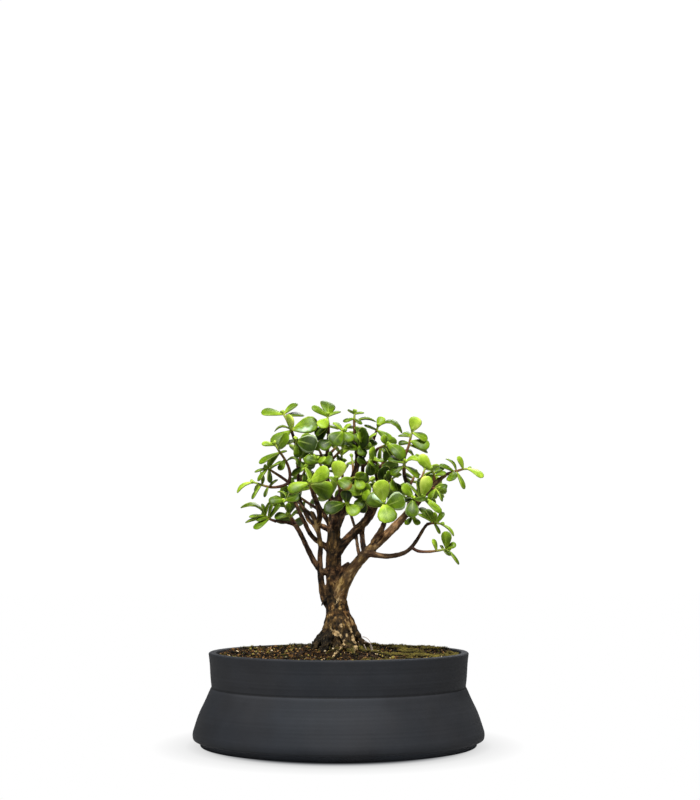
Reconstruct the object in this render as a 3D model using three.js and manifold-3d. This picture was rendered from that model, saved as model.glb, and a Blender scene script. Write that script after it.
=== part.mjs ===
// A dwarf jade bonsai, Portulacaria afra, in a round clay pot.
// Lengths are millimetres, +Z is up, and the origin is on the ground under the middle of the pot.
import * as THREE from "three";
import { mergeVertices } from "three/addons/utils/BufferGeometryUtils.js";
import Module from "manifold-3d";

const wasm = await Module();
wasm.setup();

// Driving dimensions of the pot
const POT_DIAMETER = 200;
const POT_HEIGHT = 62.8;
const FOOT_RADIUS = 94.4;
const FOOT_HEIGHT = 3.7;
const FOOT_RING_WIDTH = 9;
const CREASE_RADIUS = 87.2;
const CREASE_HEIGHT = 39.3;
const RIM_RADIUS = 89.4;
const RIM_WALL = 5;
const NECK_WALL = 5.6;
const FLOOR_BOTTOM = 4;
const FLOOR_TOP = 10;
const DRAIN_HOLE_RADIUS = 6;
const POT_SIDES = 32;

// Driving dimensions of what lies in the pot
const CLEARANCE = 0.3;
const MESH_SIDE = 24;
const MESH_THICKNESS = 0.9;
const MESH_HOLES = 4;
const MESH_HOLE_SIDE = 3.6;
const MESH_PITCH = 5.4;
const SOIL_EDGE_HEIGHT = 59.6;
const SOIL_MOUND_RISE = 7;
const SOIL_MOUND_RADIUS = 34;
const GRIT_RELIEF = 0.7;
const SOIL_RINGS = 7;

// Driving dimensions of the tree
const TRUNK_SIDES = 11;
const LIMB_STEP = 10;
const SHOOT_STEP = 9;
const SHOOT_SIDES = 4;
const BUD_LENGTH = 1.2;
const WOOD_GAP = 1.8;
const FIRST_LEAF = 2;
const LEAF_THICKNESS = 1.9;
const PAIR_LEAF_BREADTH = 0.8;
const SEEN_LEAF_BREADTH = 1.08;
const SEEN_LEAF_LENGTH = 1.03;
const LEAF_RISE = 0.06;
const LONGEST_LEAF = 20.5;
const SHOOT_BASE_RADIUS = 1.15;
const SHOOT_TIP_RADIUS = 0.7;
const LEAF_GAP = 0.7;
const STEM_GAP = 1.2;
const SKY_GAP = 0.6;
const LOWEST_LEAF = 68;
const ROOT_PIT_GAP = 0.35;
const GROUND_ROOT_RADII = [3.8, 2.7, 1.7, 1];

// The tree is set out as it is seen from the front, by an eye at this distance and height.
// A row of a limb gives the place to the right, the depth away from the eye, the height and the radius.
// Places are where the line of sight crosses the upright plane through the middle of the pot.
const EYE_DISTANCE = 1083;
const EYE_HEIGHT = 132.5;
const LIMBS = {
  trunk: [
    [0, 0, 50, 17], [-1, 0, 60, 16.5], [-0.6, 0, 66, 15.5], [-0.6, 0, 72, 13], [-0.5, 0, 80, 10.8],
    [-0.8, 0, 88, 8.3], [-1.4, 0, 96, 7.2], [-2.2, 0, 104, 6.6], [-3.2, 0, 113, 5.9],
    [-3.7, 1, 124, 5.2], [-3.6, 1, 134, 5], [-3.4, 2, 143, 4.8], [-3, 2, 152, 4.3], [-2, 3, 163, 3.4],
    [2.4, 4, 171.6, 2.7], [8.4, 5, 179.6, 2.2], [12.2, 5, 189, 1.9], [12.8, 4, 199, 1.8],
    [11.2, 3, 209, 1.6],
  ],
  right: [
    [0, -1, 101.6, 6], [3.2, -3, 109.2, 5.2], [8.2, -5, 117, 4.3], [14.3, -7, 125, 3.7],
    [20.5, -8, 131.6, 3.5], [27.5, -9, 137.8, 3.3], [34.3, -10, 144.1, 3.1], [40.8, -10, 150.4, 2.8],
    [46.8, -10, 157, 2.4], [53, -10, 163, 2.1], [58, -11, 169, 1.8], [64, -12, 175.5, 1.7],
    [70, -14, 181, 1.6], [75, -15, 184.8, 1.3],
  ],
  low_right: [
    [18, -8, 130.4, 2.4], [25, -10, 129.1, 2], [33, -12, 128.1, 1.8], [40, -13, 128.8, 1.7],
    [46, -14, 130.8, 1.5], [50, -14, 133.8, 1.4], [54.2, -13, 139.4, 1.3], [58.2, -12, 146, 1.2],
    [61, -11, 150, 1.1],
  ],
  middle: [
    [-2, 0, 130, 4], [3, 2, 136.5, 3.4], [8, 3, 142, 3.1], [13.5, 4, 147.5, 3], [19, 5, 152.8, 2.9],
    [23.5, 6, 159, 2.5], [26.5, 7, 167, 2.1], [27.5, 8, 177, 1.8], [26, 9, 187, 1.6],
    [24.5, 9, 197, 1.5], [23.6, 8, 205, 1.3], [24.6, 7, 211, 1.1],
  ],
  left_stem: [
    [-6, 2, 93, 2.9], [-10.2, 1, 99, 2.5], [-11.8, 0, 108, 2.2], [-12.9, -1, 118, 2.1],
    [-13, -2, 128, 1.8], [-12.7, -3, 136, 1.8], [-14, -4, 144, 1.6], [-15.7, -5, 151, 1.5],
    [-17, -5, 156, 1.3], [-18.6, -6, 158.8, 1.1],
  ],
  left_low: [
    [-14, 0, 119.5, 2], [-17.7, 3, 125.5, 2], [-21.2, 5, 132.5, 1.9], [-24.3, 7, 139, 1.8],
    [-27.5, 9, 145.3, 1.7], [-31, 10, 150, 1.5], [-37, 9, 151.5, 1.2], [-43.5, 7, 152.2, 1],
  ],
  left_mid: [
    [-6, 2, 131.5, 2.4], [-11, 3, 136.2, 1.9], [-17, 3, 140.2, 1.7], [-21, 2, 145.5, 1.6],
    [-24, 1, 152, 1.5], [-27.5, 0, 159, 1.4], [-30.5, -1, 166, 1.3], [-33.2, -1, 173, 1.25],
    [-34.6, -1, 179, 1.2],
  ],
  left_tall: [
    [-6, 4, 146, 2.2], [-12, 8, 149, 1.9], [-19, 12, 151.5, 1.7], [-23, 14, 158, 1.5],
    [-27, 15, 167, 1.3], [-28, 14, 177, 1.2], [-28.5, 13, 188, 1.1], [-29.5, 11, 198, 1.05],
    [-30.4, 8, 207, 1],
  ],
  front_left: [
    [-14.5, -4, 146, 1.8], [-14, -8, 151.5, 1.8], [-13.4, -13, 157, 1.8], [-15, -19, 164, 1.7],
    [-18, -24, 171, 1.5],
  ],
  front_mid: [
    [-3, -3, 150, 2.4], [-1, -11, 157, 2], [1, -18, 164, 1.6], [1, -24, 171, 1.4],
  ],
  front_right: [
    [24, -9, 137.5, 2.4], [28, -13, 143.5, 2.1], [30.8, -20, 149, 1.8], [32.5, -28, 154.5, 1.5],
  ],
  back_mid: [
    [-3, 3, 138, 2.6], [-1, 14, 147, 2.2], [3, 26, 157, 1.9], [7, 36, 169, 1.6], [9, 42, 180, 1.4],
  ],
  back_right: [
    [18, -7, 131, 2.1], [16.4, -1, 139, 1.8], [16.8, 8, 149, 1.6], [21, 19, 160, 1.5],
    [28, 29, 170, 1.4], [35, 35, 181, 1.2],
  ],
  back_thin: [
    [14.5, -6, 127.5, 1.5], [12.8, 0, 136, 1.2], [11.3, 6, 147, 1.1], [8, 12, 158, 1.1], [5, 19, 170, 1],
  ],
  back_left: [
    [-4, 4, 128, 2.6], [-5, 14, 138, 2.2], [-6, 25, 149, 1.9], [-13, 34, 161, 1.6], [-18, 40, 173, 1.4],
  ],
  right_back: [
    [50.5, -10, 160.5, 2], [52, 0, 164, 1.7], [54, 12, 170, 1.5], [56, 22, 177, 1.3],
  ],
  right_up: [
    [48, -10, 158.4, 1.9], [49, -6, 165, 1.7], [48, -5, 175, 1.5], [45.6, -6, 184, 1.4],
    [45.5, -6, 192, 1.2],
  ],
  left_cross: [
    [-15.7, -5, 151, 1.4], [-19.6, -7, 157, 1.2], [-24.4, -7, 161.4, 1.1], [-28, -7, 165.4, 1],
  ],
  top_left: [
    [-2, 2, 160, 2.4], [-6, 3, 170, 1.9], [-8, 3, 181, 1.7], [-8.6, 3, 193, 1.5], [-7.6, 2, 205, 1.3],
    [-7.4, 1, 213, 1.1],
  ],
  centre_right: [
    [21, 6, 156, 1.9], [18.5, 2, 166, 1.6], [16.6, 0, 178, 1.5], [16.6, -1, 190, 1.3],
    [17, -2, 199, 1.1],
  ],
};

// Roots that run down into the soil from the flare of the trunk, as places, depths and heights
const GROUND_ROOTS = [
  [[9, -3, 74], [16.5, -4, 67.5], [23, -5, 62], [29, -5, 55]],
  [[-9, 2, 74], [-15.5, 3, 67.5], [-21, 4, 62.5], [-26, 5, 55]],
  [[4, -8, 74], [7.5, -16, 67], [10, -23, 61], [12, -29, 54]],
  [[-5, -8, 74], [-9.5, -15, 67], [-13, -21, 61.5], [-16, -27, 54]],
  [[6, 9, 74], [10, 16, 67], [14, 22, 61], [17, 28, 54]],
  [[-6, 9, 74], [-10, 16, 67], [-14, 22, 61], [-17, 28, 54]],
];

// A shoot starts on a limb. A row of its leaves gives where the leaf sits, from 0 to 1 along the shoot,
// the place, depth and height of its tip, the turn of its face away from the eye in degrees,
// its breadth over its length, and sometimes how far it arches. Pairs of leaves sit crosswise.
const SHOOTS = {
  crest_left: {
    stem: [
      [-30.4, 8, 207], [-32.2, 6, 212.5], [-33.8, 4, 217], [-36.3, 4, 222.5], [-38.5, 4, 226.5],
    ],
    leaves: [
      [1, -54, 3, 228, 55, 0.8], [1, -29.5, 9, 234.3, 50, 0.8], [0.93, -25, 12, 226.2, 62, 0.85],
      [0.42, -33.2, -3, 225.6, 50, 0.75], [0.42, -15, -4, 220.4, 20, 0.76],
      [0.42, -46, -5, 205.2, 30, 0.7], [0.42, -44.8, 5, 214.4, 84, 0.7, 0.3],
    ],
  },
  round_dark: {
    stem: [
      [-29.5, 11, 198], [-29.8, 4, 204], [-30, -1, 208.5],
    ],
    leaves: [
      [1, -15.8, -7, 204.5, 5, 0.86], [0.85, -28.2, 2, 196.8, 35, 0.8], [1, -36.5, 0, 206.2, 60, 0.7],
    ],
  },
  left_crest: {
    stem: [
      [-34.6, -1, 179], [-34, -2, 185], [-35.5, -3, 191], [-38.5, -3, 196.5], [-42, -3, 201.5],
      [-44, -4, 205],
    ],
    leaves: [
      [1, -53.7, -5, 206, 50, 0.75], [0.82, -34.8, -3, 211.3, 45, 0.6], [0.74, -55, -8, 192.3, 62, 0.7],
      [0.74, -49.6, 3, 190.4, 50, 0.75], [0.55, -40.6, -7, 187.6, 40, 0.75],
      [0.5, -27.6, -3, 190.6, 85, 0.7, 0.4], [0.72, -37, 3, 200.8, 75, 0.6],
    ],
  },
  left_side: {
    stem: [
      [-34.6, -1, 179], [-40, -2, 182.8], [-46.5, -3, 187], [-49.5, -4, 189],
    ],
    leaves: [
      [1, -58.5, -6, 186.2, 78, 0.6], [0.85, -40.5, 3, 193, 84, 0.6], [1, -56, -8, 180.2, 62, 0.7],
      [0.9, -48.5, -9, 179.2, 55, 0.75],
    ],
  },
  far_left: {
    stem: [
      [-34.6, -1, 179], [-39, -2, 176.8], [-44, -3, 175.8], [-48.5, -4, 176], [-54, -5, 177.5],
      [-58.5, -6, 179],
    ],
    leaves: [
      [1, -70.5, -7, 172, 62, 0.62, 0.2], [0.8, -60, -10, 167.7, 70, 0.7],
      [0.62, -51.3, -11, 169.2, 60, 0.6], [0.6, -42.8, 0, 181, 75, 0.6],
      [0.86, -58.6, -1, 173.5, 70, 0.6], [0.78, -54, -10, 186, 68, 0.6],
    ],
  },
  left_low_tip: {
    stem: [
      [-43.5, 7, 152.2], [-47.5, 6, 153.5], [-51, 5, 156],
    ],
    leaves: [
      [1, -68, 2, 161.3, 74, 0.7, 0.3], [1, -62, -1, 155, 72, 0.6], [0.85, -64.7, 8, 151.3, 78, 0.6],
      [0.6, -58, -3, 146.8, 52, 0.75], [0.75, -57, 0, 152.6, 60, 0.7], [1, -48.3, 8, 165.2, 68, 0.6],
      [0.7, -45.8, 1, 164.4, 68, 0.6], [0.6, -40.8, 3, 163.8, 58, 0.65], [1, -53.7, 1, 164, 72, 0.6],
    ],
  },
  left_low_inner: {
    stem: [
      [-31, 10, 150.2], [-33, 6, 153.5], [-34.5, 4, 156],
    ],
    leaves: [
      [1, -44.5, 2, 155.5, 42, 0.7], [1, -35.8, 0, 164.5, 50, 0.7], [0.7, -27.5, 0, 160.5, 65, 0.7],
    ],
  },
  left_front: {
    stem: [
      [-30.5, -1, 166], [-34, -7, 166.3], [-37, -12, 166.5],
    ],
    leaves: [
      [1, -48.6, -15, 166.2, 32, 0.62], [1, -27, -18, 169.2, 42, 0.75], [1, -33.3, -10, 173.4, 78, 0.6],
      [0.8, -42.6, -6, 172.2, 75, 0.7, 0.3],
    ],
  },
  front_left: {
    stem: [
      [-18, -24, 171], [-19.4, -30, 175], [-20.2, -35, 178.8],
    ],
    leaves: [
      [1, -35, -38, 173.3, 25, 0.62], [1, -7, -45, 187.4, 28, 0.74], [0.82, -4.6, -32, 171.6, 12, 0.82],
      [1, -22.5, -26, 189, 60, 0.75],
    ],
  },
  left_inner: {
    stem: [
      [-28, 14, 177], [-26, 8, 182], [-24, 2, 186.5], [-23.2, -2, 189],
    ],
    leaves: [
      [1, -18.2, -8, 199.6, 48, 0.62], [1, -32.8, -2, 184.6, 48, 0.72],
      [0.62, -23.6, -1, 178.4, 45, 0.75], [0.85, -16.6, 2, 183.5, 60, 0.75],
      [0.8, -28.6, 4, 193.6, 45, 0.75],
    ],
  },
  crown_top: {
    stem: [
      [-7.4, 1, 213], [-7.3, 0, 219], [-7.9, -1, 225],
    ],
    leaves: [
      [1, -18.8, -4, 231.8, 42, 0.75], [1, -8.2, 9, 235.6, 22, 0.85], [1, 1, 3, 228.6, 68, 0.7],
      [0.9, -12.8, -10, 217.6, 15, 0.68], [0.35, -16.6, -4, 212.6, 48, 0.8],
      [0.35, -1, 6, 216.8, 70, 0.7],
    ],
  },
  spire: {
    stem: [
      [11.2, 3, 209], [10.9, 2, 217], [10.6, 2, 222], [11, 2, 227],
    ],
    leaves: [
      [1, 6.2, 0, 229.6, 72, 0.7], [1, 17.6, 1, 227.7, 78, 0.6], [0.78, 3.4, -2, 221.4, 62, 0.7],
      [0.78, 15.2, -4, 219.8, 58, 0.8], [0.58, 25.8, 3, 221.2, 80, 0.55, 0.2],
      [0.35, 17.8, -5, 214.6, 50, 0.75], [0.35, 5.8, 7, 217.6, 66, 0.75],
    ],
  },
  heart: {
    stem: [
      [-7.6, 2, 205], [-3, -4, 208.5], [0.5, -9, 212], [3, -13, 214.8],
    ],
    leaves: [
      [1, -4.8, -19, 206.3, 8, 0.9], [1, 8.6, -18, 208, 14, 0.85], [1, -3.6, -10, 221, 58, 0.75],
      [1, 8, -11, 220, 60, 0.75],
    ],
  },
  crest_right: {
    stem: [
      [24.6, 7, 211], [26, 6, 214.4], [27, 5, 217.4],
    ],
    leaves: [
      [1, 30.6, -1, 224.8, 20, 0.8], [1, 43.8, 3, 213.4, 62, 0.75, 0.4], [0.35, 17.8, 0, 219, 64, 0.62],
      [0.3, 36, -2, 208.6, 35, 0.8],
    ],
  },
  right_crest: {
    stem: [
      [45.5, -6, 192], [46, -6, 197.5], [48.5, -6, 204], [50, -7, 210], [51, -8, 214.2],
    ],
    leaves: [
      [1, 54.6, -11, 224.6, 8, 0.9], [1, 61.4, -9, 208.6, 48, 0.72], [0.66, 62.6, -11, 203.8, 25, 0.64],
      [0.55, 61.6, -1, 200.3, 66, 0.7], [0.85, 45.4, 0, 213.8, 45, 0.8], [0.8, 41.6, -4, 211.6, 78, 0.6],
      [0.6, 41.6, -5, 206.6, 40, 0.85], [0.42, 51.6, -1, 198.6, 66, 0.7], [0.42, 43.6, 2, 197, 66, 0.75],
    ],
  },
  right_leaf_big: {
    stem: [
      [24.5, 9, 197], [26.5, 4, 202], [30, -2, 204], [33, -5, 205.5],
    ],
    leaves: [
      [1, 45, -11, 195.6, 25, 0.66, 0.2], [0.85, 41, -3, 194, 48, 0.72], [1, 30.2, -9, 211.6, 30, 0.8],
      [0.6, 28.5, 2, 193.8, 60, 0.7],
    ],
  },
  right_bright: {
    stem: [
      [45.6, -6, 184], [45, -12, 189], [46, -15, 192.6],
    ],
    leaves: [
      [1, 57, -18, 194, 58, 0.68, 0.3], [1, 34.5, -12, 196, 50, 0.75], [0.7, 36.2, -14, 184.6, 42, 0.8],
      [0.7, 55.6, -13, 182.6, 50, 0.8, 0.1],
    ],
  },
  right_outer: {
    stem: [
      [64, -12, 175.5], [66, -14, 180], [66.4, -16, 184], [65, -18, 187.4],
    ],
    leaves: [
      [1, 55.8, -23, 197.4, 22, 0.7], [0.8, 73, -15, 189.4, 48, 0.7], [0.6, 61.8, -10, 183.4, 56, 0.75],
      [0.55, 74.4, -20, 185.6, 55, 0.6],
    ],
  },
  far_right: {
    stem: [
      [75, -15, 184.8], [78, -15, 186], [82, -15, 187], [86, -15, 188.3], [89, -15, 188.6],
    ],
    leaves: [
      [1, 99.6, -26, 182.4, 52, 0.6, 0.12], [0.8, 83, -17, 197.2, 48, 0.72],
      [0.48, 74.5, -13, 195.4, 76, 0.62, 0.2], [0.48, 86.9, -20, 174.7, 62, 0.7],
      [0.28, 78.6, -22, 180.4, 42, 0.8], [0.2, 70.4, -17, 191.4, 52, 0.62],
    ],
  },
  far_right_low: {
    stem: [
      [64, -12, 175.5], [66.5, -15, 174.8], [68.5, -17, 175],
    ],
    leaves: [
      [1, 75.4, -20, 176.2, 48, 0.8], [0.7, 71.6, -21, 166.2, 74, 0.6], [0.6, 62.6, -19, 167, 58, 0.75],
    ],
  },
  yellow_pair: {
    stem: [
      [53, -10, 163], [55, -15, 166], [57.8, -21, 169],
    ],
    leaves: [
      [1, 62.4, -29, 183.2, 8, 0.62], [1, 70.3, -28, 158, 48, 0.55], [0.75, 54.4, -11, 180.4, 62, 0.72],
      [0.8, 47, -16, 178.8, 76, 0.6],
    ],
  },
  right_round: {
    stem: [
      [53, -10, 163], [51.8, -17, 165.5], [51.8, -23, 168],
    ],
    leaves: [
      [1, 50.6, -29, 155.3, 8, 0.72], [1, 44.2, -27, 177, 40, 0.75], [0.9, 60.5, -27, 166.8, 62, 0.7],
      [0.8, 42.5, -18, 166.5, 50, 0.8],
    ],
  },
  right_under: {
    stem: [
      [47, -10, 157], [49.4, -15, 155.8], [51, -19, 155],
    ],
    leaves: [
      [1, 55.4, -22, 149.8, 40, 0.85], [1, 46.8, -22, 149.8, 50, 0.85],
    ],
  },
  low_right_tip: {
    stem: [
      [61, -11, 150], [65, -12, 151], [70, -13, 150.6],
    ],
    leaves: [
      [1, 79.6, -15, 142, 74, 0.52, 0.15], [0.6, 69.8, -16, 143.6, 68, 0.62],
      [0.8, 73, -14, 158.2, 48, 0.75], [0.48, 61.6, -9, 160.6, 50, 0.75],
      [0.44, 56.6, -7, 161.6, 48, 0.7], [0.5, 55.4, -11, 157, 72, 0.62], [0.7, 67.4, -19, 158, 58, 0.75],
    ],
  },
  lowest: {
    stem: [
      [50, -14, 134.4], [55, -16, 131.6], [62, -18, 131.2], [68, -19, 131.8], [74.4, -20, 133],
    ],
    leaves: [
      [0.74, 65.2, -20, 139.8, 52, 0.75], [1, 75.2, -24, 145, 28, 0.72], [1, 81.2, -22, 136.4, 42, 0.85],
      [1, 83, -22, 122.4, 76, 0.6], [0.93, 70.5, -18, 135.6, 60, 0.65],
      [0.93, 76.4, -27, 128.6, 58, 0.65],
    ],
  },
  front_mid: {
    stem: [
      [1, -24, 171], [0.3, -30, 175.5], [-1.4, -35, 181],
    ],
    leaves: [
      [1, 0.8, -40, 194, 5, 0.86], [1, 8, -41, 175, 22, 0.72], [0.7, -6.5, -30, 183, 60, 0.7],
    ],
  },
  front_low: {
    stem: [
      [1, -18, 164], [3, -24, 164], [5, -30, 164.6],
    ],
    leaves: [
      [1, 5.6, -34, 173.6, 12, 1], [1, 12.6, -38, 156.8, 18, 0.78], [1, -9.4, -38, 159.6, 25, 0.62],
    ],
  },
  front_rosette: {
    stem: [
      [32.5, -28, 154.5], [32.5, -36, 159], [31.4, -45, 165],
    ],
    leaves: [
      [1, 28.4, -53, 180.4, 5, 0.88], [1, 34.6, -54, 151.4, 6, 0.94], [0.8, 19.8, -44, 169, 14, 0.8],
      [0.8, 45.4, -43, 167.6, 8, 0.98],
    ],
  },
  crown_inner: {
    stem: [
      [-8.6, 3, 193], [-4, -4, 196], [0, -9, 200], [3, -12, 203],
    ],
    pairs: { count: 4, length: 11, roll: 60, bare: 0.3 },
  },
  crown_right: {
    stem: [
      [12.8, 4, 199], [14, -3, 204], [16, -9, 207.5],
    ],
    pairs: { count: 3, length: 11, roll: 80, bare: 0.4 },
  },
  centre_dark: {
    stem: [
      [16.6, -1, 190], [20, -7, 193], [24, -12, 195],
    ],
    pairs: { count: 3, length: 12, roll: 40, bare: 0.35 },
  },
  centre_top: {
    stem: [
      [17, -2, 199], [18, -5, 204], [19, -7, 208],
    ],
    pairs: { count: 3, length: 10, roll: 20, bare: 0.25 },
  },
  centre_front: {
    stem: [
      [8.4, 5, 179.6], [9, -4, 182], [12, -13, 182.5],
    ],
    pairs: { count: 3, length: 11, roll: 10, bare: 0.4 },
  },
  centre_low: {
    stem: [
      [26.5, 7, 167], [21, -4, 169], [16, -14, 171],
    ],
    pairs: { count: 3, length: 12, roll: 70, bare: 0.45 },
  },
  centre_right_front: {
    stem: [
      [27.5, 8, 177], [34, 0, 180], [39, -8, 183],
    ],
    pairs: { count: 4, length: 12, roll: 50, bare: 0.4 },
  },
  right_inner: {
    stem: [
      [48, -5, 175], [51, -2, 180], [53, 1, 185],
    ],
    pairs: { count: 3, length: 11, roll: 70, bare: 0.35 },
  },
  left_low_back: {
    stem: [
      [-27.2, 9, 145.5], [-31, 20, 152], [-36, 30, 160], [-40, 36, 167],
    ],
    pairs: { count: 4, length: 13, roll: 10, bare: 0.35 },
  },
  left_back: {
    stem: [
      [-28.5, 13, 188], [-27, 22, 195], [-28, 29, 203],
    ],
    pairs: { count: 4, length: 13, roll: 20, bare: 0.3 },
  },
  back_top: {
    stem: [
      [9, 42, 180], [10, 47, 188], [9, 50, 196],
    ],
    pairs: { count: 4, length: 13, roll: 0, bare: 0.15 },
  },
  back_low: {
    stem: [
      [3, 26, 157], [-2, 36, 163], [-6, 46, 170],
    ],
    pairs: { count: 4, length: 13, roll: 20, bare: 0.3 },
  },
  back_side: {
    stem: [
      [7, 36, 169], [15, 44, 174], [22, 50, 181],
    ],
    pairs: { count: 4, length: 13, roll: 40, bare: 0.3 },
  },
  back_right_top: {
    stem: [
      [35, 35, 181], [38, 40, 189], [39, 42, 197],
    ],
    pairs: { count: 4, length: 13, roll: 0, bare: 0.15 },
  },
  back_right_low: {
    stem: [
      [28, 29, 170], [34, 40, 172], [41, 48, 176],
    ],
    pairs: { count: 4, length: 13, roll: 10, bare: 0.3 },
  },
  back_left_top: {
    stem: [
      [-18, 40, 173], [-21, 46, 182], [-22, 48, 190],
    ],
    pairs: { count: 4, length: 13, roll: 30, bare: 0.15 },
  },
  back_left_low: {
    stem: [
      [-15, 34, 161], [-23, 42, 166], [-31, 47, 172],
    ],
    pairs: { count: 4, length: 13, roll: 0, bare: 0.3 },
  },
  right_back_top: {
    stem: [
      [56, 22, 177], [58, 28, 183], [60, 32, 189],
    ],
    pairs: { count: 4, length: 13, roll: 20, bare: 0.15 },
  },
  right_back_low: {
    stem: [
      [54, 12, 170], [61, 19, 172], [67, 25, 175],
    ],
    pairs: { count: 4, length: 12, roll: 0, bare: 0.3 },
  },
  back_thin_top: {
    stem: [
      [5, 19, 170], [3, 22, 180], [2, 23, 190], [2, 22, 199],
    ],
    pairs: { count: 4, length: 12, roll: 10, bare: 0.25 },
  },
  top_back: {
    stem: [
      [12.8, 4, 199], [14, 14, 205], [16, 22, 211],
    ],
    pairs: { count: 4, length: 12, roll: 0, bare: 0.3 },
  },
  middle_back: {
    stem: [
      [26, 9, 187], [31, 18, 193], [35, 24, 201],
    ],
    pairs: { count: 4, length: 12, roll: 20, bare: 0.3 },
  },
  top_left_back: {
    stem: [
      [-8.6, 3, 193], [-12, 13, 198], [-15, 21, 205],
    ],
    pairs: { count: 4, length: 13, roll: 40, bare: 0.25 },
  },
  crown_low: {
    stem: [
      [-8.4, 2, 198], [-4.5, 7, 201], [-1, 12, 205],
    ],
    pairs: { count: 3, length: 11, roll: 50, bare: 0.35 },
  },
  top_left_front: {
    stem: [
      [-8.3, 3, 184], [-12, -5, 190], [-14.5, -12, 195],
    ],
    pairs: { count: 4, length: 12, roll: 10, bare: 0.35 },
  },
};

// Places in the crown where the sky shows through, as place, height and radius
const GAPS = [
  [-37, 202, 2.4], [-34.6, 199.4, 2], [-43.6, 195, 1.6], [-45.6, 191.8, 1.4], [-32, 190, 2.8],
  [-31, 187, 1.8], [-36.8, 184.6, 1.4], [-13.2, 210.5, 1.8], [-10.6, 210.2, 1.5], [-14, 200.6, 1.8],
  [-11, 201.8, 1.8], [-3, 202, 1.3], [-2.4, 199.4, 1], [3, 198, 1.5], [6.4, 198.4, 1.8],
  [9.2, 196.4, 1.5], [8.6, 189, 2], [8, 184.8, 1.6], [-5.4, 183.6, 1.8], [-13.5, 190.6, 1.2],
  [-22.3, 186, 1.2], [14, 188.6, 0.9], [19.6, 189.6, 1], [22.8, 184, 1.4], [28.6, 199.4, 1.4],
  [30, 206.2, 1.1], [18, 213.4, 1.6], [19.6, 211.2, 1.2], [32, 215, 2.5], [36, 215.4, 2.8],
  [39.2, 213, 1.8], [43, 205.8, 1.3], [30, 192, 1], [30, 184.4, 1.2], [37, 182, 1.2], [43.2, 181, 1.7],
  [43.2, 192.6, 1.1], [48, 190, 2], [53, 190, 3], [58, 187.4, 2.4], [55, 200.4, 0.9], [49, 213, 1.2],
  [77, 188.6, 1.5], [79.6, 191, 1.2], [-24, 168.2, 1.8], [-27.5, 195, 1.1], [-28.3, 211, 1.1],
  [-4, 216, 1.3], [5, 153.5, 1.5], [7, 149.5, 2.1], [13.5, 154.4, 1.3], [23, 152, 2], [24.6, 148, 1.9],
  [-11.6, 153.4, 1.5], [-24, 157, 1.3], [-30.4, 155.6, 1], [-41.6, 159, 1.2], [42.6, 155.4, 2],
  [36, 147.5, 1.8], [63.4, 155.2, 1.6], [56.6, 163, 0.9], [52.6, 182, 1.1], [44.6, 206.2, 1],
  [-16.6, 161.4, 1],
];

const UP = new THREE.Vector3(0, 0, 1);
const TO_EYE = new THREE.Vector3(0, -1, 0);

// Ways in which a leaf of a pair gives way: degrees that it opens, degrees that it turns, and its size
const GIVE_WAY = [
  [0, 0, 1], [-16, 0, 1], [14, 0, 1], [0, 20, 1], [0, -20, 1], [-28, 12, 0.94], [-18, -25, 0.92],
  [18, 25, 0.9], [0, 40, 0.86], [-34, -35, 0.82], [-42, 0, 0.78], [10, -45, 0.72], [-50, 60, 0.7],
  [-60, -70, 0.66], [-20, 90, 0.7],
];
// Steps along the line of sight in which the tip of a seen leaf gives way
const TIP_STEPS = [0, -4, 4, -8, 8, -12, 12, -16, 16];
// Spots on a leaf that must stay clear: share of its length, share of its half breadth
const SPOTS = [
  [0.2, 0], [0.35, -0.8], [0.35, 0.8], [0.45, 0], [0.6, -0.9], [0.6, 0.9], [0.6, -0.45],
  [0.6, 0.45], [0.72, 0], [0.82, -0.9], [0.82, 0.9], [0.9, 0], [1, 0],
];
const MIDDLE_SPOT = 8;
// Shares of a leaf from its root that may lie close to its own shoot, to a limb and to a crossing leaf
const OWN_SHARE = 0.5;
const LIMB_SHARE = 0.25;
const SUNK_SHARE = 0.1;

// A point given as it is seen, moved along its line of sight to its depth
function seen(right, depth, height) {
  const k = 1 + depth / EYE_DISTANCE;
  return new THREE.Vector3(right * k, depth, EYE_HEIGHT + (height - EYE_HEIGHT) * k);
}

function curveOf(rows) {
  const points = rows.map(([right, depth, height]) => seen(right, depth, height));
  return new THREE.CatmullRomCurve3(points, false, "catmullrom", 0.5);
}

function directionAt(curve, t) {
  const step = 1e-3;
  const before = curve.getPoint(Math.max(0, t - step));
  return curve.getPoint(Math.min(1, t + step)).sub(before).normalize();
}

function radiusAt(radii, t) {
  const place = t * (radii.length - 1);
  const i = Math.min(Math.floor(place), radii.length - 2);
  return THREE.MathUtils.lerp(radii[i], radii[i + 1], place - i);
}

// A seeded draw between two values
function drawFrom(seed) {
  let state = seed;
  return (low, high) => {
    state = (state * 1664525 + 1013904223) % 4294967296;
    return low + ((high - low) * state) / 4294967296;
  };
}

// Closed meshes and solids
function closedGeometry(points, faces) {
  const geometry = new THREE.BufferGeometry();
  geometry.setAttribute("position", new THREE.Float32BufferAttribute(points.flat(), 3));
  geometry.setIndex(faces.flat());
  return geometry;
}

function solidOf(geometry) {
  const bare = geometry.clone();
  bare.deleteAttribute("normal");
  bare.deleteAttribute("uv");
  const merged = mergeVertices(bare, 1e-4);
  const mesh = new wasm.Mesh({
    numProp: 3,
    vertProperties: merged.attributes.position.array,
    triVerts: new Uint32Array(merged.index.array),
  });
  return new wasm.Manifold(mesh);
}

function joined(solids) {
  return solids.reduce((all, one) => all.add(one));
}

function meshOf(name, solid, material) {
  const { vertProperties, triVerts } = solid.getMesh();
  const geometry = new THREE.BufferGeometry();
  geometry.setAttribute("position", new THREE.BufferAttribute(vertProperties, 3));
  geometry.setIndex(new THREE.BufferAttribute(triVerts, 1));
  const flat = geometry.toNonIndexed();
  flat.computeVertexNormals();
  const mesh = new THREE.Mesh(flat, material);
  mesh.name = name;
  return mesh;
}

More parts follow.
